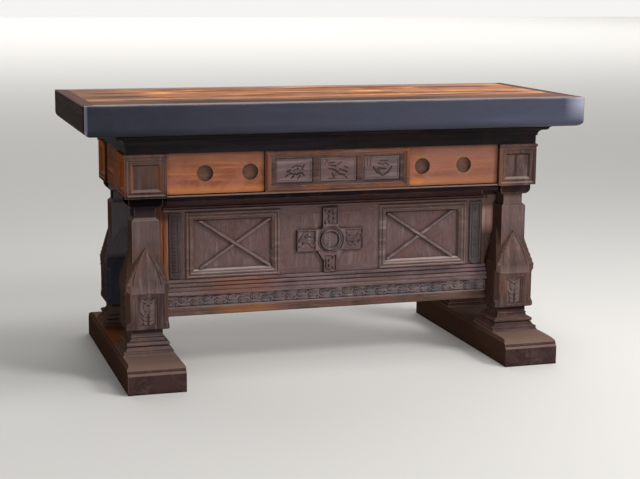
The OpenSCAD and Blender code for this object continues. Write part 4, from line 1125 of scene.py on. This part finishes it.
CAMERA_PLACE = (-1.4117, -4.6180, 1.2461)
CAMERA_TURN = (17.208, 10.212, 0.426)  # yaw, pitch and roll, degrees
CAMERA_LENS = 81.93
AIR_BRIGHT_WAY = (0.45, 0.84, 0.3)
FLOOR_HALF = 40.0  # m
LIGHTS = (
    # Name, place, what it looks at, width in metres and share of the key light's power.
    # The last one hangs over the far floor and brightens it up to the horizon
    ("key_light", (3.0, -3.0, 3.3), (0.5, 0, 0.4), 1.4, 1),
    ("top_light", (0.9, -0.6, 3.8), (0.1, 0, 0.8), 1.6, 0.45),
    ("fill_light", (0.4, -5.4, 1.3), (0.1, 0, 0.4), 2.4, 0.5),
    ("floor_light", (6.0, 33.0, 11.0), (6.0, 33.0, 0), 40.0, 54),
)


def area_light(name, place, target, size, power):
    """A square soft light that looks at target."""
    data = bpy.data.lights.new(name, "AREA")
    data.size = size
    data.energy = power
    lamp = bpy.data.objects.new(name, data)
    bpy.context.scene.collection.objects.link(lamp)
    lamp.location = place
    x, y, z = np.subtract(target, place)
    tilt = math.pi / 2 + math.atan2(z, math.hypot(x, y))
    lamp.rotation_euler = (tilt, 0, math.atan2(-x, y))


def studio_air():
    """Pale air that is bright behind the table and dim in front of it."""
    world = bpy.data.worlds.new("Studio air")
    world.use_nodes = True
    tree = world.node_tree
    way = add(tree, "TexCoord")["Generated"]
    ways = {0: way, 1: AIR_BRIGHT_WAY}
    facing = add(tree, "VectorMath", ways, operation="DOT_PRODUCT")["Value"]
    strength = add(tree, "MapRange", {0: facing, 1: 0.35, 2: 0.85, 3: 0.16})[0]
    air = tree.nodes["Background"]
    air.inputs["Color"].default_value = rgba("f6f5f3")
    tree.links.new(strength, air.inputs["Strength"])
    return world


class TABLE_OT_studio(bpy.types.Operator):
    """Sets a pale floor, soft lights and the camera"""

    bl_idname = "table.studio"
    bl_label = "Set the studio"

    def execute(self, context):
        scene = context.scene
        rim = [-FLOOR_HALF, FLOOR_HALF]
        corners = [(x, y, 0) for x in rim for y in rim]
        mesh = bpy.data.meshes.new("studio_floor")
        mesh.from_pydata(corners, [], [(0, 2, 3, 1)])
        mesh.materials.append(flat_finish("Pale matt floor", "d2d0cc", 0.9))
        floor = bpy.data.objects.new("studio_floor", mesh)
        scene.collection.objects.link(floor)
        for *light, share in LIGHTS:
            area_light(*light, scene.table_studio.key_power * share)
        scene.world = studio_air()
        scene.view_settings.view_transform = "Standard"
        data = bpy.data.cameras.new("studio_camera")
        data.lens = CAMERA_LENS
        data.clip_end = 200
        camera = bpy.data.objects.new("studio_camera", data)
        scene.collection.objects.link(camera)
        camera.location = CAMERA_PLACE
        camera.rotation_mode = "XYZ"
        yaw, pitch, roll = map(math.radians, CAMERA_TURN)
        level = math.cos(pitch)
        forward = (math.sin(yaw) * level, math.cos(yaw) * level, -math.sin(pitch))
        right = np.array([math.cos(yaw), -math.sin(yaw), 0.0])
        up = np.cross(right, forward)
        c, s = math.cos(roll), math.sin(roll)
        right, up = right * c + up * s, up * c - right * s
        turn = Matrix([[right[i], up[i], -forward[i]] for i in range(3)])
        camera.rotation_euler = turn.to_euler()
        scene.camera = camera
        return {"FINISHED"}


class TABLE_PT_panel(bpy.types.Panel):
    """Lists the steps that make the table's looks"""

    bl_label = "Communion table"
    bl_idname = "TABLE_PT_panel"
    bl_space_type = "VIEW_3D"
    bl_region_type = "UI"
    bl_category = "Communion table"

    def draw(self, context):
        for group, kind in GROUPS.items():
            for name in kind.__annotations__:
                self.layout.prop(getattr(context.scene, group), name)
        for step in STEPS:
            self.layout.operator(step.bl_idname)


STEPS = (
    TABLE_OT_finish_solids,
    TABLE_OT_carve_cross,
    TABLE_OT_carve_vine,
    TABLE_OT_carve_squares,
    TABLE_OT_carve_posts,
    TABLE_OT_carve_panel,
    TABLE_OT_studio,
)
GROUPS = {
    "table_finish": TableFinish,
    "table_carving": TableCarving,
    "table_studio": TableStudio,
}
CLASSES = (*GROUPS.values(), *STEPS, TABLE_PT_panel)


def register():
    for cls in CLASSES:
        bpy.utils.register_class(cls)
    for name, group in GROUPS.items():
        setattr(bpy.types.Scene, name, bpy.props.PointerProperty(type=group))


def unregister():
    for name in GROUPS:
        delattr(bpy.types.Scene, name)
    for cls in reversed(CLASSES):
        bpy.utils.unregister_class(cls)


def main():
    register()
    for step in STEPS:
        group, name = step.bl_idname.split(".")
        getattr(getattr(bpy.ops, group), name)()


if __name__ == "__main__":
    main()
